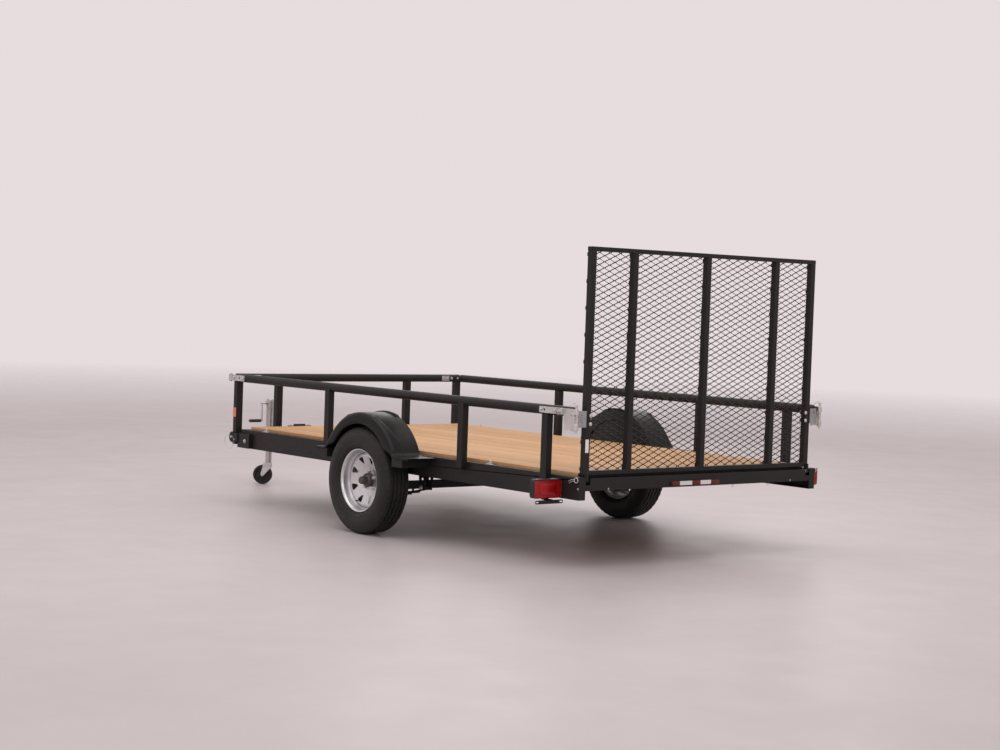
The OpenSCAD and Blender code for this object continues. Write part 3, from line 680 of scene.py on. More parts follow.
# ----------------------------------------------------------------- deck
def deck():
    k, att = Kit(), []
    n, gap, room, t = 10, 4.0, 2 * (990.6 - 50) - 6, 37.0
    bw = (room - (n - 1) * gap) / n
    x0, x1, z0 = 69.0, 3605.6, 513.0
    N = 36
    screws = Kit()
    for i in range(n):
        ya = -room / 2 + i * (bw + gap)
        yb = ya + bw
        sec = rrect(ya, yb, z0, z0 + t, 3.2, 3)
        ph = [rng.uniform(0, 6.28) for _ in range(4)]
        v = []
        for s in range(N + 1):
            x = x0 + (x1 - x0) * s / N
            dz = -0.35 + 0.35 * math.sin(s * 0.33 + ph[0])
            dy = 0.7 * math.sin(s * 0.21 + ph[1])
            for (y, z) in sec:
                cup = -0.5 * ((y - (ya + yb) / 2) / (bw / 2)) ** 2 * math.sin(ph[2])
                v.append((x, y + dy, z + (dz + min(0.0, cup) if z > z0 + 5 else 0.0)))
        m = len(sec)
        f = [(s * m + a, s * m + (a + 1) % m, (s + 1) * m + (a + 1) % m, (s + 1) * m + a) for s in range(N) for a in range(m)]
        f += [tuple(range(m)), tuple(N * m + a for a in range(m))]
        k.add(v, f)
        att += [rng.random()] * len(v)
        for X in (92, 600, 1080, 1567, 2203, 2720, 3180, 3582):
            for s in (-1, 1):
                y = (ya + yb) / 2 + s * 52 + rng.uniform(-3, 3)
                x = X + rng.uniform(-4, 4)
                screws.lathe([(5.2, -0.8), (5.4, 0.25), (4.6, 0.45), (2.4, 0.3), (2.0, -0.7), (0, -0.7)], (x, y, z0 + t - 0.7), (0, 0, 1), 12)
    piece(k, "deck_planks", "trailer_frame", WOOD, ["deck_boards"], 40, att)
    piece(screws, "deck_screws", "trailer_frame", BRASS)


deck()


# --------------------------------------------------------------- wheels
AX, AZ, WY = 1885.0, 340.0, 1114.0


def tyre(side):
    k = Kit()
    NS = 288
    pr = [(190.5, 62), (198, 63.6), (203, 66), (207, 72), (210, 79), (214, 84), (219, 87.5), (226, 90.5), (229, 92.6), (231, 93.6), (234, 93.8), (236, 93.2),
          (245, 96.2), (255, 98.0), (266, 98.9), (278, 98.4), (289, 96.8), (298, 94.4), (306, 91.4), (309, 91.2), (311, 90.6), (313, 88.6), (319, 85.2), (321, 85.3), (323, 84.6), (324.5, 82.2),
          (329, 79.5), (333, 76.2), (336, 72.0), (337.8, 67.5), (338.7, 62.0)]
    tread = []
    grooves = (-44.0, -15.5, 15.5, 44.0)
    ys = sorted({round(y, 2) for c in grooves for y in (c - 5.2, c - 4.0, c + 4.0, c + 5.2)} | {-56.0, -30.0, -22.0, -8.0, 0.0, 8.0, 22.0, 30.0, 56.0})
    for y in reversed(ys):
        g = next((c for c in grooves if abs(y - c) < 4.5), None)
        r = 340.0 - 1.1 * (y / 60) ** 2 - (7.5 if g is not None else 0.0)
        near = next((c for c in grooves if abs(y - c) < 6), None)
        tread.append((r, y, near is not None))
    prof = [(r, y, None) for r, y in pr] + tread + [(r, -y, None) for r, y in reversed(pr)]
    inner = [(197, -60), (212, -66), (240, -84), (266, -88), (300, -80), (322, -56), (324, 0), (322, 56), (300, 80), (266, 88), (240, 84), (212, 66), (197, 60)]
    verts, faces = [], []
    rows = 0
    for r, y, zig in prof:
        for s in range(NS):
            a = 2 * PI * s / NS
            yy, rr = y, r
            if zig:
                ph = (s * 36 / NS) % 1.0
                yy = y + 3.2 * (abs(ph * 2 - 1) * 2 - 1)
            if zig is None and r > 322 and s % 6 < 2:
                rr = r - (3.0 if r > 330 else 1.8)
            if zig is False and abs(y) in (56.0, 30.0, 0.0) and (s + (3 if abs(y) == 30 else 0)) % 6 == 0:
                rr = r - 2.2
            verts.append((AX + rr * math.cos(a), WY + yy, AZ + rr * math.sin(a)))
        rows += 1
    for r, y in inner:
        for s in range(NS):
            a = 2 * PI * s / NS
            verts.append((AX + r * math.cos(a), WY + y, AZ + r * math.sin(a)))
        rows += 1
    for q in range(rows):
        p = (q + 1) % rows
        for s in range(NS):
            t = (s + 1) % NS
            faces.append((q * NS + s, q * NS + t, p * NS + t, p * NS + s))
    k.add(verts, faces)
    lo, hi = len(pr) - 6, len(pr) + len(tread) + 5
    k.mi = [1 if lo <= f // NS < hi else 0 for f in range(len(faces))]
    if side == "right":
        k.v = [(x, -y, z) for x, y, z in k.v]
    piece(k, side + "_tyre_tread", side + "_wheel", [RUBBER, TREAD], [side + "_tyre"], 30)


def disc_y(r):
    """Outboard offset of the wheel disc's face at radius r."""
    rs = [40, 66, 74, 82, 92, 104, 126, 148, 154, 160, 165, 170, 174, 177.5]
    hs = [-10, -10, -8.6, -5.2, -0.8, 4.2, 13.2, 22.0, 23.8, 24.2, 22.4, 18.2, 12.0, 5.6]
    return float(np.interp(r, rs, hs))


def window(r_in=99, r_out=152, half=27, rad=9, n=4):
    """Rounded triangle, its point to the hub, in (radial, tangential)."""
    pts = [(r_in, 0.0), (r_out, half), (r_out, -half)]
    out = []
    for i in range(3):
        a, b, c = Vector(pts[i - 1]), Vector(pts[i]), Vector(pts[(i + 1) % 3])
        d1, d2 = (a - b).normalized(), (c - b).normalized()
        ang = math.acos(max(-1, min(1, d1.dot(d2)))) / 2
        t = rad / math.tan(ang)
        cen = b + (d1 + d2).normalized() * (rad / math.sin(ang))
        s, e = b + d1 * t - cen, b + d2 * t - cen
        a0, a1 = math.atan2(s.y, s.x), math.atan2(e.y, e.x)
        da = (a1 - a0 + PI) % (2 * PI) - PI
        out += [(cen.x + rad * math.cos(a0 + da * q / n), cen.y + rad * math.sin(a0 + da * q / n)) for q in range(n + 1)]
    return out


def cut(kit, cutter):
    """Boolean difference, as new vertices and faces."""
    objs = []
    for src in (kit, cutter):
        me = bpy.data.meshes.new("tmp")
        me.from_pydata(src.v, [], src.f)
        bm = bmesh.new()
        bm.from_mesh(me)
        bmesh.ops.recalc_face_normals(bm, faces=bm.faces)
        bm.to_mesh(me)
        bm.free()
        o = bpy.data.objects.new("tmp", me)
        bpy.context.scene.collection.objects.link(o)
        objs.append(o)
    mod = objs[0].modifiers.new("cut", "BOOLEAN")
    mod.operation, mod.solver, mod.object = "DIFFERENCE", "EXACT", objs[1]
    dg = bpy.context.evaluated_depsgraph_get()
    me = objs[0].evaluated_get(dg).to_mesh()
    v = [tuple(x.co) for x in me.vertices]
    f = [tuple(p.vertices) for p in me.polygons]
    objs[0].evaluated_get(dg).to_mesh_clear()
    for o in objs:
        m = o.data
        bpy.data.objects.remove(o)
        bpy.data.meshes.remove(m)
    k = Kit()
    k.add(v, f)
    return k


def rim(side):
    Y = (0, 1, 0)
    o = (AX, WY, AZ)
    d = Kit()
    rs = [44, 52, 62, 66, 70, 74, 78, 82, 87, 92, 98, 104, 112, 119, 126, 134, 142, 148, 151, 154, 157, 160, 162.5, 165, 167.5, 170, 172, 174, 176, 177.5]
    d.lathe([(r, disc_y(r)) for r in rs] + [(r, disc_y(r) - 3.4) for r in reversed(rs)], o, Y, 144, True)
    cutter = Kit()
    for i in range(8):
        a = math.radians(22.5 + 45 * i)
        x, y = Vector((math.cos(a), 0, math.sin(a))), Vector((-math.sin(a), 0, math.cos(a)))
        m = plane(o, x, y)
        w = window()
        n = len(w)
        cutter.add([(p, q, z) for z in (-30, 30) for p, q in w], [tuple(range(n)), tuple(range(n, 2 * n))] + [(j, (j + 1) % n, n + (j + 1) % n, n + j) for j in range(n)], m)
    for i in range(5):
        a = math.radians(90 + 72 * i)
        c = Vector(o) + Vector((math.cos(a), 0, math.sin(a))) * 57.15
        cutter.lathe([(0, -30), (7.5, -30), (7.5, 30), (0, 30)], c, Y, 20)
    k = cut(d, cutter)
    # rolled edges of the windows
    for i in range(8):
        a = math.radians(22.5 + 45 * i)
        x, y = Vector((math.cos(a), 0, math.sin(a))), Vector((-math.sin(a), 0, math.cos(a)))
        pts = []
        for p, q in window(r_in=97.5, r_out=153.5, half=28.4, rad=9.6, n=6):
            rr = math.hypot(p, q)
            pts.append(Vector(o) + x * p + y * q + Vector((0, disc_y(rr) - 0.6, 0)))
        k.tube(pts, 1.7, 8, True)
    # barrel: outer flange, bead seat, steps down to the well
    outer = [(190.2, -60), (192, -64), (198, -68), (201.4, -69.5), (202.2, -71.5), (201.0, -73.6), (197, -74.4), (191, -71.5), (187.2, -66), (186.2, -58), (186, -44), (181, -35), (176.4, -28),
             (176, -10), (176, 10), (176.6, 16), (180, 24), (185, 32), (186, 38), (186.2, 52), (186.8, 58), (188.5, 63), (192, 69.5), (196.5, 73.2), (200.6, 73.8), (202.3, 72), (201.6, 69.8), (198, 68), (192.4, 64.6), (190.2, 60),
             (190.2, 36), (184, 26), (180.4, 18), (180, 0), (180, -28), (185, -36), (190.2, -44)]
    k.lathe(outer, o, Y, 144, True)
    # ring weld between disc and barrel
    k.lathe([(176.2, 3.0), (175.2, 5.6), (175.4, 9.6), (176.4, 12.6), (177.2, 8.0)], o, Y, 96, True)
    z = Kit()
    for i in range(5):
        a = math.radians(90 + 72 * i)
        c = Vector(o) + Vector((math.cos(a) * 57.15, -10, math.sin(a) * 57.15))
        r = 19.0 / math.sqrt(3)
        z.lathe([(8.2, -1.5), (r * 0.98, 1.6), (r, 3), (r, 14.5), (r * 0.84, 16.5), (6.6, 16.5), (6.2, 12.5), (0, 12.5)], c, Y, 6, phase=0.3 * i)
        z.cyl(c + Vector((0, 10, 0)), c + Vector((0, 15.2, 0)), 5.9, 16, 0.8)
    v = Kit()
    a = math.radians(-62)
    r0 = Vector((math.cos(a), 0, math.sin(a)))
    p0 = Vector(o) + r0 * 166 + Vector((0, -6, 0))
    v.cyl(p0, p0 + r0 * -3 + Vector((0, 14, 0)), 8.0, 18, 1.5, 6.0)
    v.cyl(p0 + Vector((0, 12, 0)) - r0 * 2.5, p0 - r0 * 9 + Vector((0, 38, 0)), 4.2, 14, 0.6)
    v.cyl(p0 + Vector((0, 37.5, 0)) - r0 * 9, p0 - r0 * 11 + Vector((0, 47, 0)), 4.6, 14, 1.2)
    # grease cap rim and end plug on the hub
    h = Kit()
    h.lathe([(20.0, 54), (22.5, 55), (23.4, 56.5), (22.2, 58.6), (19.6, 58.9), (16.4, 58.6), (15.8, 57.0), (9, 56.4), (0, 56.8)], o, Y, 48)
    h.lathe([(43.2, -9), (45.5, -9), (45.8, -7), (45.5, 4), (44, 6.4), (43.2, 6.8)], o, Y, 48)
    sides = [(k, "_wheel_disc", GALV, "galvanised", [side + "_rim"]), (z, "_wheel_nuts", ZINC, "zinc", []), (v, "_wheel_valve", PLASTIC, "black_plastic", []), (h, "_hub_cap", HUB, "hub_grey", [])]
    for kit, name, m, slot, rep in sides:
        if side == "right":
            kit.v = [(x, -y, zz) for x, y, zz in kit.v]
        piece(kit, side + name, side + "_wheel", m, rep, 32)


for side in ("left", "right"):
    tyre(side)
    rim(side)


# -------------------------------------------------------------- fenders
def fender(side):
    cx, cz, R, F, zf = 1870.0, 372.0, 403.0, 45.0, 525.0
    dz = zf + F - cz
    dx = math.sqrt((R + F) ** 2 - dz * dz)
    at = math.degrees(math.asin(dz / (R + F)))
    path = []                                         # (x, z, nx, nz, skirt depth, turn from rear to front)
    for i in range(7):
        path.append((1335 + (cx - dx - 1335) * i / 7, zf, 0.0, 1.0))
    for i in range(9):
        a = math.radians(-90 + (at + 90 - 180 + 90) * 0 + (90 - at) * i / 9)
        path.append((cx - dx + F * math.cos(a), zf + F + F * math.sin(a), -math.cos(a), -math.sin(a)))
    N = 96
    for i in range(N + 1):
        a = math.radians(180 - at - (180 - 2 * at) * i / N)
        path.append((cx + R * math.cos(a), cz + R * math.sin(a), math.cos(a), math.sin(a)))
    for i in range(1, 10):
        a = math.radians(-90 - (90 - at) * (1 - i / 9))
        path.append((cx + dx + F * math.cos(a), zf + F + F * math.sin(a), -math.cos(a), -math.sin(a)))
    for i in range(1, 6):
        path.append((cx + dx + (2350 - cx - dx) * i / 5, zf, 0.0, 1.0))

    def smooth(t):
        t = max(0.0, min(1.0, t))
        return t * t * (3 - 2 * t)

    ys = [994, 996, 1000, 1006, 1012, 1018, 1026, 1040, 1056, 1072, 1088] + [1096 + 3 * i for i in range(31)]
    NP = len(path)
    rows = []
    for x, z, nx, nz in path:
        rise = smooth((z - zf) / 95.0)                # 0 on the feet, 1 up the arch
        h = 7 + 59 * rise
        theta = math.degrees(math.atan2(z - cz, x - cx))
        rear_t = smooth((x < cx) * 1.0)
        up = smooth((z - zf) / 228.0)
        row = []
        plateau = smooth((theta - 68) / 6) * smooth((112 - theta) / 6)
        for y in ys:
            d = 0.0
            d += 9.0 * plateau * smooth((1022 - y) / 10.0)
            fade = smooth((z - zf) / 30.0) * smooth((100 - abs(theta - 90) - 0) / 10.0)
            end = smooth((cz + R - 14 - z) / 16.0)
            yb = 1120 + 62 * up ** 1.3
            yc = 1186
            d += 5.5 * math.exp(-((y - yb) / 5.2) ** 2) * fade * end
            d += 4.0 * math.exp(-((y - yc) / 4.0) ** 2) * fade * end
            between = smooth((y - yb) / 6.0) * smooth((yc - y) / 6.0)
            d -= 2.0 * between * fade * end
            row.append((x + nx * d, y, z + nz * d))
        rad = 24.0 * (0.25 + 0.75 * rise)
        for q in range(1, 9):
            a = math.radians(90 * q / 8)
            dd = -rad * (1 - math.cos(a))
            row.append((x + nx * dd, 1212 - rad + rad * math.sin(a) if True else y, z + nz * dd))
        for t in (0.35, 0.7, 1.0):
            dd = -rad - (h - rad) * t if h > rad else -rad
            row.append((x + nx * dd, 1212.0, z + nz * dd))
        row.append((x + nx * (-max(h, rad) - 2.0), 1210.0, z + nz * (-max(h, rad) - 2.0)))
        row.append((x + nx * (-max(h, rad) - 2.4), 1204.0, z + nz * (-max(h, rad) - 2.4)))
        rows.append(row)
    m = len(rows[0])
    n0 = len(ys)
    for row in rows:
        row[:n0] = [(x, min(y, row[n0][1] - 0.3 * (n0 - 1 - i)) if y > 1180 else y, z) for i, (x, y, z) in enumerate(row[:n0])]
    outer = [p for row in rows for p in row]
    # inner surface, 3.6 mm inside by vertex normals
    co = np.array(outer).reshape(NP, m, 3)
    du = np.gradient(co, axis=0)
    dv = np.gradient(co, axis=1)
    nn = np.cross(du, dv)
    nn /= np.maximum(np.linalg.norm(nn, axis=2, keepdims=True), 1e-9)
    ref = np.array([[(p[2], 0.0, p[3])] * m for p in path]).reshape(NP, m, 3)
    ref = ref + np.array([0, 0.6, 0])
    flip = np.sign((nn * ref).sum(2, keepdims=True))
    nn *= np.where(flip == 0, 1, flip)
    inner = co - nn * 3.6
    inner[..., 1] = np.minimum(inner[..., 1], 1211.4)
    verts = outer + [tuple(p) for p in inner.reshape(-1, 3)]
    B = NP * m
    faces = []
    for i in range(NP - 1):
        for j in range(m - 1):
            a, b, c, d = i * m + j, i * m + j + 1, (i + 1) * m + j + 1, (i + 1) * m + j
            faces.append((a, b, c, d))
            faces.append((B + d, B + c, B + b, B + a))
    for i in range(NP - 1):
        for j in (0, m - 1):
            a, d = i * m + j, (i + 1) * m + j
            faces.append((a, d, B + d, B + a))
    for j in range(m - 1):
        for i in (0, NP - 1):
            a, b = i * m + j, i * m + j + 1
            faces.append((a, b, B + b, B + a))
    k = Kit()
    k.add(verts, faces)
    i0, i1 = 7, NP - 6
    loop = [(x - 1.2 * nx, z - 1.2 * nz) for x, z, nx, nz in path[i0:i1 + 1]]
    loop = [(loop[0][0], 519.0)] + loop + [(loop[-1][0], 519.0)]
    W = plane((0, 0, 0), (1, 0, 0), (0, 0, 1))
    k.plate([loop], W, -998.0, -994.2, 0.6)
    rib = [(cx + 330 * math.cos(math.radians(a)), 996.0 - 3.4, cz + 330 * math.sin(math.radians(a))) for a in range(34, 147, 4)]
    k.tube(rib, 3.2, 8)
    b = Kit()
    for x in (1372, 1440, 2296):
        for y in (1022, 1180):
            b.carriage((x, y, zf - 0.6), (0, 0, 1), 7.0, 2.6)
            b.bolt((x, y, zf - 9), (0, 0, -1), 13, 6, True, 3)
    for kit in (k, b):
        if side == "right":
            kit.v = [(x, -y, z) for x, y, z in kit.v]
    piece(k, side + "_fender_shell", "trailer_frame", FENDER, [side + "_fender"], 50)
    piece(b, side + "_fender_bolts", "trailer_frame", BLACK)


for side in ("left", "right"):
    fender(side)


# --------------------------------------------------------------- lights
def tail_lights():
    lens, hs, scr = Kit(), Kit(), Kit()
    y0, y1, z0, z1, r = 992.4, 1186.4, 403.4, 507.0, 15.0
    out = rrect(y0, y1, z0, z1, r, 6)
    yc, zc = (y0 + y1) / 2, (z0 + z1) / 2
    rings = [(1.0, 151.8, 0), (1.0, 147.6, 0), (0.985, 145.4, 1), (0.95, 143.8, 1), (0.86, 142.0, 1), (0.82, 143.2, 1), (0.60, 142.6, 1), (0.56, 140.6, 1), (0.30, 140.3, 1)]
    verts, m = [], len(out)
    for s, x, curve in rings:
        for y, z in out:
            yy, zz = yc + (y - yc) * s, zc + (z - zc) * s
            bow = 3.6 * ((yy - yc) / 95.0) ** 2 * curve
            verts.append((min(151.8, x + bow), yy, zz))
    verts.append((140.2, yc, zc))
    faces = [tuple(range(m))]
    for q in range(len(rings) - 1):
        for j in range(m):
            faces.append((q * m + j, q * m + (j + 1) % m, (q + 1) * m + (j + 1) % m, (q + 1) * m + j))
    q = len(rings) - 1
    faces += [(q * m + j, q * m + (j + 1) % m, len(verts) - 1) for j in range(m)]
    lens.add(verts, faces)
    for i in range(12):                                # moulded flutes across the face
        y = y0 + 22 + i * 12.8
        bow = 3.6 * ((y - yc) / 95.0) ** 2
        lens.tube([(143.4 + bow, y, z0 + 12), (142.2 + bow, y, z0 + 22), (142.2 + bow, y, z1 - 22), (143.4 + bow, y, z1 - 12)], 1.5, 6)
    # housing with a rim around the lens and a ledge along the top
    M = plane((0, 0, 0), (0, 1, 0), (0, 0, 1))
    hs.plate([rrect(990.8, 1188, 402, 512, 18, 6)], M, 151.9, 198, 3.0)
    hs.box(140.6, 160, 996, 1183, 507.4, 511.6, 1.2)
    hs.box(197, 206, 1010, 1170, 420, 494, 4)
    hs.cyl((205, 1060, 470), (222, 1060, 470), 8, 20, 1.5)
    for y, z in ((1008, 416), (1171, 494)):
        scr.carriage((146.6, y, z), (-1, 0, 0), 3.0, 1.4)
    for y in (1060, 1112):
        scr.bolt((205, y, 440), (1, 0, 0), 11, 5, True, 6)
    for kit in (lens, hs, scr):
        kit.mirrored()
    piece(lens, "tail_lens_fluted", "trailer_frame", RED, ["tail_light_lenses"], 40)
    piece(hs, "tail_light_cases", "trailer_frame", PLASTIC, ["tail_light_housings"], 40)
    piece(scr, "tail_light_screws", "trailer_frame", ZINC)
    # licence strap
    b, z = Kit(), Kit()
    M = plane((0, 0, 0), (0, 1, 0), (0, 0, 1))
    strap = arc(1179, 383, 11, -90, 90, 10) + arc(993, 383, 11, 90, 270, 10)
    slots = []
    for y in (1086 - 88.9, 1086 + 88.9):
        slots.append(list(reversed(arc(y + 8, 383, 4, -90, 90, 6) + arc(y - 8, 383, 4, 90, 270, 6))))
    b.plate([strap] + slots, M, 140, 143, 0.5)
    b.box(140, 180, 1060, 1112, 393.6, 396.6, 0.6)
    b.box(177, 180, 1060, 1112, 394, 401.9, 0.6)
    b.box(140, 143, 1060, 1112, 390, 396.4, 0.6)
    piece(b, "licence_strap", "trailer_frame", BLACK, ["licence_bracket"])
    for y in (1072, 1100):
        z.bolt((160, y, 393.4), (0, 0, -1), 10, 4.5, True)
    piece(z, "licence_bolts", "trailer_frame", ZINC)
    # marker bar: base, three domed lamps, two bright panels between them
    base, red, sil = Kit(), Kit(), Kit()
    base.plate([rrect(-126, 276, 459.4, 488.6, 4, 4)], M, -5.5, 0, 0.8)
    for y in (-93, 65, 237):
        base.plate([rrect(y - 32.6, y + 32.6, 459.8, 488.2, 5, 4)], M, -7.5, -5, 0.6)
        o = rrect(y - 31, y + 31, 461.2, 486.8, 6, 5)
        vs, fs = [], []
        rg = [(1.0, -7.0), (1.0, -9.6), (0.95, -11.8), (0.82, -13.2), (0.5, -13.9)]
        for s, x in rg:
            vs += [(x, y + (a - y) * (1 - (1 - s) * 0.35), 474 + (c - 474) * s) for a, c in o]
        mm = len(o)
        fs = [tuple(range(mm)), tuple((len(rg) - 1) * mm + j for j in range(mm))]
        fs += [(q * mm + j, q * mm + (j + 1) % mm, (q + 1) * mm + (j + 1) % mm, (q + 1) * mm + j) for q in range(len(rg) - 1) for j in range(mm)]
        red.add(vs, fs)
        for i in range(5):
            yy = y - 22 + i * 11
            red.tube([(-12.6, yy, 466), (-13.2, yy, 474), (-12.6, yy, 482)], 0.7, 6)
    for a, b2 in ((-58, 31), (100, 202)):
        sil.plate([rrect(a, b2, 462, 486, 2.5, 3)], M, -8.2, -5.4, 0.5)
        for y in (a + 8, b2 - 8):
            sil.carriage((-8.2, y, 474), (-1, 0, 0), 3.0, 1.4)
    piece(base, "marker_base", "trailer_frame", PLASTIC, ["marker_light_bar"])
    piece(red, "marker_lamps", "trailer_frame", MARKER, (), 40)
    piece(sil, "marker_panels", "trailer_frame", SILVER)
    # amber reflectors
    a, fr = Kit(), Kit()
    M = plane((0, 0, 0), (1, 0, 0), (0, 0, 1))         # its z is -Y
    a.plate([rrect(3697, 3735, 615.5, 682.5, 4, 4)], M, -1016.0, -1013.2, 0.7)
    fr.plate([rrect(3696, 3736, 614, 684, 5, 4)], M, -1014.2, -1012.0, 0.4)
    a.mirrored()
    fr.mirrored()
    piece(a, "amber_reflectors", "front_rail", AMBER, ["side_reflectors"])
    piece(fr, "reflector_backs", "front_rail", PLASTIC)


tail_lights()


# ------------------------------------------------- hinges, latches, trim
def ring(c, u, v, r, n=28, a0=0, a1=360):
    c, u, v = Vector(c), Vector(u).normalized(), Vector(v).normalized()
    return [c + u * (r * math.cos(math.radians(a0 + (a1 - a0) * i / n))) + v * (r * math.sin(math.radians(a0 + (a1 - a0) * i / n))) for i in range(n + (0 if a1 - a0 == 360 else 1))]


def trim():
    z, k, w = Kit(), Kit(), Kit()
    # rail end caps at the rear
    k.lathe([(0, -25), (9, -24.4), (17, -21.8), (23, -17.2), (27, -10.5), (28.8, -3), (29.3, 0), (29.3, 6), (28.6, 6.6), (20, 6.6), (0, 6.6)], (60, 1005, 898), (1, 0, 0), 40)
    # gate latch: notched plate, strap, coil spring and bolts over the rail
    zl = Kit()
    A = plane((0, 0, 0), (1, 0, 0), (0, 0, 1))
    edge = [(11, 792), (40, 792), (40, 797), (74, 797), (74, 790.5), (92, 790.5), (96, 795), (96, 808), (90, 814), (90, 828), (100, 840), (100, 878), (104, 880), (311, 880), (314.6, 884), (314.6, 912), (311, 916.6), (11, 916.6), (10.2, 914), (10.2, 794)]
    holes = [list(reversed(arc(x, z0, r, 0, 345, 23))) for x, z0, r in ((270, 898, 7.5), (36, 828, 4.5), (36, 880, 4.5))]
    zl.plate([edge] + holes, A, -1038.4, -1034.4, 0.7)
    for z0, z1 in ((795, 832), (884, 917)):
        zl.lathe([(6.6, 0), (13, 0), (14, 1), (14, z1 - z0 - 1), (13, z1 - z0), (6.6, z1 - z0)], (8, 1023, z0), (0, 0, 1), 32, True)
        zl.box(8, 22, 1030, 1038, z0 + 1, z1 - 1, 1.5)
    zl.cyl((8, 1023, 780), (8, 1023, 936), 6.5, 24, 1.4)
    zl.mirrored()
    piece(zl, "gate_latch_straps", "trailer_frame", ZINC, ["gate_latches"])
    for x, zz in ((118, 908), (140, 889)):
        z.bolt((x, 1038.4, zz), (0, 1, 0), 12, 7, True, 4, 0.2)
    z.tube([(100 + 48 * t / 60, 1046.5 + 6.0 * math.cos(t * 0.9), 899 + 8.0 * math.sin(t * 0.9)) for t in range(61)], 1.7, 6)
    z.box(98, 102, 1038, 1056, 884, 914, 1.0)
    z.box(148, 152, 1038, 1056, 884, 914, 1.0)
    # latch bolts through the rails
    for x in (176, 300):
        z.bolt((x, 1038.4, 898), (0, 1, 0), 13, 5.5, True, 0, 0.3)
    for x in (3578, 3700):
        z.bolt((x, 1038.4, 897.5), (0, 1, 0), 13, 5.5, True, 0, 0.1)
    # pin heads, washers and springs on the vertical latch pins
    for x, y, za, zb in ((8, 1023, 780, 936),):
        z.lathe([(0, 0), (9.5, 0), (10.5, 1), (10.5, 4), (9.5, 5), (0, 5)], (x, y, zb - 1), (0, 0, 1), 24)
        z.tube([(x + 8.4 * math.cos(t * 0.7), y + 8.4 * math.sin(t * 0.7), 836 + t * 0.62) for t in range(0, 74)], 1.5, 6)
        z.tube([(x, y, zb + 3), (x, y, zb + 8), (x + 3, y + 1, zb + 12), (x + 24, y + 4, zb + 12)], 3.0, 8)
    z.lathe([(0, 0), (9.0, 0), (10, 1), (10, 4), (9, 5), (0, 5)], (3763.6, 1026, 921.4), (0, 0, 1), 24)
    z.lathe([(0, 0), (8.0, 0), (9, 1), (9, 3.4), (8, 4), (0, 4)], (3763.6, 1026, 873.4), (0, 0, -1), 24)
    # gate hinge pin washers, a hairpin clip and a rivet by each rear corner
    c = Vector((15, 999.6, 512))
    w.tube(ring(c + Vector((-1, 1.2, 2)), (1, 0, 0), (0, 0, 1), 14.5, 26, 50, 400), 2.5, 8)
    w.tube([c + Vector((8, 1.2, 13)), c + Vector((20, 2, 6)), c + Vector((30, 2, 2)), c + Vector((40, 2.4, 3)), c + Vector((50, 2, -3)), c + Vector((62, 2, -7))], 2.3, 8)
    w.tube([c + Vector((11, 1.2, -7)), c + Vector((20, 2, -3)), c + Vector((30, 2.4, -8)), c + Vector((42, 2, -9)), c + Vector((56, 2, -17))], 2.3, 8)
    z.carriage((8, 990.8, 465), (0, 1, 0), 6.0, 2.8)
    # bolts on the beam by the lamp
    z.bolt((216, 990.8, 478), (0, 1, 0), 11, 5, True, 0, 0.2)
    z.bolt((222, 990.8, 438), (0, 1, 0), 11, 5, True, 0, 0.5)
    # front hinge: bolt heads and the pull pin on its wire loop
    z.bolt((3560, 1018.2, 452), (0, 1, 0), 16, 7, True, 0, 0.2)
    z.cyl((3726, 1026.4, 471), (3726, 1038, 471), 7.6, 20, 1.2)
    z.tube([(3726 - 7, 1036, 471), (3726 - 18, 1037, 473), (3726 - 30, 1037, 471)], 2.2, 8)
    z.cyl((3690, 1018.2, 455), (3690, 1030, 455), 5.5, 18, 1.0)
    # tie-down rings on the beams' top edges
    for x in (835, 3360):
        z.box(x - 26, x + 26, 956, 984, 530.1, 533.0, 0.8)
        z.tube(ring((x, 968, 541), (1, 0, 0), (0, 0.25, 1), 15, 26), 3.0, 8, True)
        z.tube([(x - 9, 972, 532), (x - 7, 970, 540), (x, 968, 543.4), (x + 7, 970, 540), (x + 9, 972, 532)], 3.4, 8)
        for s in (-1, 1):
            z.carriage((x + s * 19, 970, 533.0), (0, 0, 1), 4.5, 2.4)
    z.mirrored()
    k.mirrored()
    w.mirrored()
    # nut on the inner end of the right gate pin
    z.bolt((15, -911.6, 512), (0, 1, 0), 15, 6.5, True, 1, 0.2)
    piece(z, "latch_and_hinge_hardware", "trailer_frame", ZINC)
    piece(k, "rail_end_caps", "trailer_frame", PLASTIC)
    piece(w, "hairpin_clips", "trailer_frame", STEEL_WIRE)
    # bolts that travel with the front rail
    f = Kit()
    for y in (836, 876):
        f.bolt((3682.8, y, 898), (-1, 0, 0), 13, 5.5, True, 0, 0.4)
    for y in (917, 979):
        f.bolt((3686.6, -y, 898), (-1, 0, 0), 13, 6.5, True, 0, 0.2)
        f.bolt((3686.6, y, 898), (-1, 0, 0), 13, 6.5, True, 0, 0.2)
    n = len(f.v)
    g = Kit()
    for y in (836, 876):
        g.bolt((3682.8, -y, 898), (-1, 0, 0), 13, 5.5, True, 0, 0.4)
    f.add(g.v, g.f)
    piece(f, "front_rail_bolts", "front_rail", ZINC)
    c = Kit()
    for s in (-1, 1):
        c.lathe([(0, -6), (16, -5.4), (24, -3.4), (28, 0), (29.2, 1.0), (29.2, 3), (20, 3), (0, 3)], (3716, s * 1005.4, 898), (0, -s, 0), 36)
    piece(c, "front_rail_caps", "front_rail", PLASTIC)
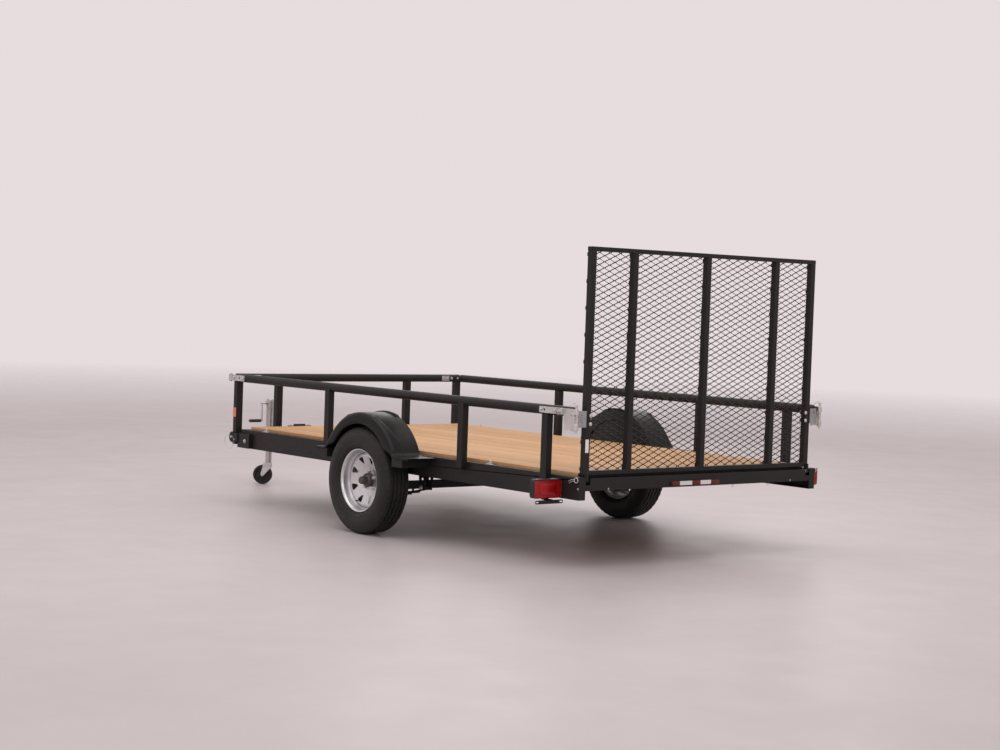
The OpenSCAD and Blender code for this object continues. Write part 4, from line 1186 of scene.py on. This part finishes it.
    # wire keepers: loops with both ends fixed
    l = Kit()
    for s, cx, cz, rx, rz in ((1, 3752, 434, 62, 48),):
        l.tube([(cx + rx * math.cos(a), s * (1030 + 4 * math.sin(2 * a)), cz + rz * math.sin(a)) for a in [i * 2 * PI / 40 for i in range(40)]], 1.3, 6, True)
    l.tube([(40 + 34 * math.cos(a), -(1030 + 3 * math.sin(2 * a)), 898 + 44 * math.sin(a)) for a in [i * 2 * PI / 40 for i in range(40)]], 1.3, 6, True)
    piece(l, "wire_keepers", "trailer_frame", STEEL_WIRE)
    # small clips and screws along the rear cross member's lower edge
    u = Kit()
    for y in (-264, -574):
        u.tube([(6, y, 453), (4, y, 446), (2, y + 3, 438), (5, y + 8, 434), (9, y + 9, 440), (10, y + 8, 449)], 1.8, 8)
    u.carriage((-0.2, -765, 460), (-1, 0, 0), 5.0, 2.4)
    u.carriage((-0.2, 765, 460), (-1, 0, 0), 5.0, 2.4)
    piece(u, "rear_edge_clips", "trailer_frame", ZINC)
    # flat black strap-like bits at the deck's front edge
    t = Kit()
    t.box(3612, 3650, 420, 606, 530.2, 552, 1.5)
    t.box(3618, 3644, 470, 560, 552.0, 564, 3.0)
    piece(t, "front_edge_block", "trailer_frame", PLASTIC)
    t = Kit()
    for y in (436, 590):
        t.bolt((3631, y, 552), (0, 0, 1), 13, 6, True, 3)
    piece(t, "front_edge_bolts", "trailer_frame", ZINC)


trim()


# --------------------------------------------------- running gear, tongue
def running_gear():
    d, z, wk = Kit(), Kit(), Kit()
    for dx in (-44, 44):                               # U-bolts over the axle's seat
        for dy in (-32, 32):
            pass
    for dy in (-31, 31):
        x0, y = AX, 890 + dy
        pts = [(x0 - 33, y, 225)] + [(x0 - 33, y, 262), (x0 - 33, y, 318)] + [(x0 + 33 * math.cos(a), y, 318 + 9 * math.sin(a)) for a in [PI - i * PI / 10 for i in range(11)]] + [(x0 + 33, y, 262), (x0 + 33, y, 225)]
        z.tube(pts, 5.5, 10)
        for s in (-1, 1):
            z.bolt((x0 + s * 33, y, 231), (0, 0, -1), 18, 9, True, 0)
    for x in (AX - 318, AX + 318):                     # spring and shackle bolts
        for s in (-1, 1):
            z.bolt((x, 890 + s * 36, 316), (0, s, 0), 18, 9, True, 4 if s > 0 else 0, 0.3)
    for x in (AX - 150, AX + 150):                     # leaf clips
        d.box(x - 11, x + 11, 864, 916, 262, 266, 1)
        d.box(x - 11, x + 11, 864, 867, 262, 292, 1)
        d.box(x - 11, x + 11, 913, 916, 262, 292, 1)
    d.mirrored()
    z.mirrored()
    piece(d, "spring_clips", "trailer_frame", DARK)
    piece(z, "spring_bolts", "trailer_frame", ZINC)
    # safety chains: hooked to the tongue at both ends, in a short hanging loop
    c = Kit()

    def chain(p0, p1, sag, n):
        P = [Vector(p0).lerp(Vector(p1), i / n) - Vector((0, 0, sag * 4 * (i / n) * (1 - i / n))) for i in range(n + 1)]
        for i in range(n):
            m = (P[i] + P[i + 1]) / 2
            t = (P[i + 1] - P[i]).normalized()
            side = Vector((0, 1, 0)) if i % 2 else t.cross(Vector((0, 1, 0))).normalized()
            h, r = 13.0, 9.0
            pts = []
            for q in range(20):
                a = 2 * PI * q / 20
                u = math.cos(a) * r + (h - r + 2.5) * (1 if math.cos(a) > 0 else -1) * (abs(math.cos(a)) > 1e-6)
                pts.append(m + t * u + side * (math.sin(a) * r))
            c.tube(pts, 2.9, 6, True)
    chain((4560, -12, 318), (4912, -14, 318), 46, 17)
    chain((4560, 12, 318), (4912, 14, 318), 40, 17)
    for y in (-12, 12):
        c.cyl((4556, y, 326), (4556, y, 306), 6, 14, 1)
        c.cyl((4916, y, 326), (4916, y, 306), 6, 14, 1)
    piece(c, "safety_chains", "trailer_frame", STEEL_WIRE)
    # coupler trim: two through bolts, latch lever, safety pin
    b = Kit()
    for x in (4978, 5028):
        for s in (-1, 1):
            b.bolt((x, s * 42.2, 366), (0, s, 0), 18, 5.5 if s > 0 else 8, True, 0)
    b.tube([(5075, 0, 396), (5060, 0, 415), (5040, 0, 421), (4985, 0, 419)], 5, 10)
    b.cyl((5066, -16, 412), (5066, 16, 412), 4.5, 14, 0.8)
    b.lathe([(9, -4), (11, -4), (11.6, -3), (11.6, 3), (11, 4), (9, 4)], (5092, 0, 396), (0, 0, 1), 24, True)
    b.lathe([(0, 0), (8.6, 0), (8.6, 6), (7, 8), (0, 8)], (5092, 0, 394), (0, 0, 1), 6)
    piece(b, "coupler_hardware", "trailer_frame", ZINC)


running_gear()


# ------------------------------------------------------------------ jack
JX, JY = 4729.0, 84.0


def jack():
    z, g, p = Kit(), Kit(), Kit()
    # top cap, collar and gear head on the tube
    z.lathe([(0, 4.5), (20, 4.2), (28, 2.4), (30.2, 0), (30.6, -2), (30.6, -22), (29.8, -23)], (JX, JY, 674), (0, 0, 1), 48)
    z.lathe([(29, 0), (31.4, 0.6), (31.4, 9), (29, 9.6)], (JX, JY, 300), (0, 0, 1), 48)
    z.lathe([(29, 0), (30.6, 0.5), (30.6, 6), (29, 6.5)], (JX, JY, 402), (0, 0, 1), 48)
    z.lathe([(0, 0), (15, 0), (16, 1), (16, 11), (15, 12), (0, 12)], (JX, JY + 26, 644), (0, 1, 0), 32)
    z.bolt((JX, JY + 80.2, 644), (0, 1, 0), 13, 6, False)
    z.cyl((JX + 28.6, JY, 624), (JX + 34, JY, 624), 6, 16, 1)
    # swivel plate face and its pull pin with a ring
    z.lathe([(24, 0), (44, 0), (45, 0.8), (45, 5), (44, 5.8), (24, 5.8)], (JX, 46, 362), (0, 1, 0), 48, True)
    z.cyl((JX + 32, 49, 392), (JX + 32, 84, 392), 7, 18, 1)
    z.tube(ring((JX + 32, 84, 392), (1, 0, 0), (0, 0.4, 1), 12, 24), 1.6, 6, True)
    piece(z, "jack_hardware", "jack", JACKZ)
    prof = [(0, 0), (9.5, 0), (12.2, 2)]
    for i in range(8):
        a = 6 + i * 11.4
        prof += [(12.4, a), (12.7, a + 4), (12.4, a + 8), (11.7, a + 9.0), (11.7, a + 10.4)]
    prof += [(12.4, 99), (11.2, 104.2), (6, 105.4), (0, 105.4)]
    g.lathe(prof, (JX, 166.4, 505), (0, 1, 0), 28)
    piece(g, "jack_grip", "jack", PLASTIC)
    # wheel: hub, five spokes, rim with a rounded tread
    ca = math.radians(50.9)
    c = Vector((JX + 43 * math.cos(ca), JY + 43 * math.sin(ca), 76))
    axis = Vector((-math.sin(ca), math.cos(ca), 0))
    p.lathe([(6.2, -24), (15, -24), (16, -23), (16.6, -10), (16.6, 10), (16, 23), (15, 24), (6.2, 24)], c, axis, 32, True)
    p.lathe([(56, -18), (58, -20.6), (64, -21.4), (70, -20.4), (73.6, -17.6), (75.5, -13), (76, -7), (76, 7), (75.5, 13), (73.6, 17.6), (70, 20.4), (64, 21.4), (58, 20.6), (56, 18), (55, 8), (55, -8)], c, axis, 72, True)
    p.lathe([(15, -3.5), (30, -3.0), (56, -3.5), (56, 3.5), (30, 3.0), (15, 3.5)], c, axis, 48, True)
    x0, y0 = axis.cross(Vector((0, 0, 1))).normalized(), Vector((0, 0, 1))
    for i in range(6):
        a = 2 * PI * i / 6 + 0.3
        u = x0 * math.cos(a) + y0 * math.sin(a)
        M = Matrix.Translation(c) @ Matrix((u, axis, u.cross(axis))).transposed().to_4x4()
        p.box(14, 57, -13, 13, -3.2, 3.2, 1.2, M)
    piece(p, "jack_wheel_spoked", "jack_wheel", WHEEL_GREY, ["jack_wheel"], 35)
    y = Kit()
    n = Vector(axis)
    y.bolt(c + n * 34.2, n, 15, 6, False)
    y.bolt(c - n * 34.2, -n, 15, 6, False)
    piece(y, "jack_fork_hardware", "jack_caster", ZINC)


jack()


# ------------------------------------------------------------- welds
def welds():
    k = Kit()

    def bead(a, b, r=2.6):
        a, b = Vector(a), Vector(b)
        n = max(3, int((b - a).length / 6))
        k.tube([a.lerp(b, i / n) + Vector((0, 0.35 * math.sin(i * 2.1), 0)) for i in range(n + 1)], r, 6)
    for X in (269.5, 1053.5, 2507.5):
        for s in (-1, 1):
            bead((X + s * 25.7, 990.4, 489), (X + s * 25.7, 990.4, 529))
        bead((X - 23, 992, 487.6), (X + 23, 992, 487.6))
        for s in (-1, 1):
            pts = [(X + s * 23.5, 1005 + 26 * math.cos(math.radians(a)), 898 - 29.6 * abs(math.sin(math.radians(a)))) for a in range(215, 330, 12)]
            k.tube([(x, y, z + 0.4) for x, y, z in pts], 2.2, 6)
    k.mirrored()
    for X in (600, 1080, 1567, 2203, 2720, 3180):
        pass
    for y in (-939.6, 939.6):
        bead((0.8, y, 453), (0.8, y, 483), 2.0)
    piece(k, "frame_welds", "trailer_frame", BLACK)


welds()


# ------------------------------------------------------- floor and light
def stage():
    me = bpy.data.meshes.new("floor")
    S = 60
    me.from_pydata([(-S, -S, 0), (S, -S, 0), (S, S, 0), (-S, S, 0)], [], [(0, 1, 2, 3)])
    o = bpy.data.objects.new("floor", me)
    bpy.context.scene.collection.objects.link(o)
    n = NT("floor_pale")
    x, y, _ = n.sep()
    d = n.math("SQRT", n.math("ADD", n.math("MULTIPLY", x, x), n.math("MULTIPLY", y, y)))
    fade = n.span(d, 0.0, 1.0, 8.0, 26.0)
    col = n.mix(n.span(n.noise(0.9, 6, 0.6), 0, 1), (0.47, 0.43, 0.435), (0.51, 0.47, 0.475))
    n.set(base=col, rough=n.span(n.noise(3.0, 6, 0.6), 0.36, 0.46), spec=0.30, normal=n.bump(n.noise(60, 4), 0.03, 0.002))
    tr = n.t.nodes.new("ShaderNodeBsdfTransparent")
    mixs = n.t.nodes.new("ShaderNodeMixShader")
    n.put(mixs.inputs[0], fade)
    n.t.links.new(n.b.outputs[0], mixs.inputs[1])
    n.t.links.new(tr.outputs[0], mixs.inputs[2])
    out = next(q for q in n.t.nodes if q.type == "OUTPUT_MATERIAL")
    n.t.links.new(mixs.outputs[0], out.inputs[0])
    me.materials.append(n.m)
    w = bpy.data.worlds.new("studio")
    bpy.context.scene.world = w
    w.use_nodes = True
    w.node_tree.nodes["Background"].inputs[0].default_value = (0.86, 0.775, 0.782, 1)
    w.node_tree.nodes["Background"].inputs[1].default_value = 0.93
    for name, loc, size, power, target in (("key", (-1.5, 1.0, 6.2), (9.0, 7.0), 250, (0, 0, 0)),
                                           ("side", (-7.0, 6.5, 3.6), (4.0, 3.0), 60, (0, 0, 0.7)),
                                           ("far", (5.0, -6.0, 4.2), (6.0, 3.0), 90, (0, 0, 0.6))):
        l = bpy.data.lights.new(name, "AREA")
        l.shape, l.size, l.size_y, l.energy = "RECTANGLE", size[0], size[1], power
        l.color = (1.0, 0.975, 0.965)
        lo = bpy.data.objects.new(name, l)
        bpy.context.scene.collection.objects.link(lo)
        lo.location = loc
        lo.rotation_mode = "QUATERNION"
        lo.rotation_quaternion = (Vector(target) - Vector(loc)).to_track_quat("-Z", "Y")


stage()
bpy.context.scene.view_settings.view_transform = "Standard"
bpy.context.scene.view_settings.look = "None"
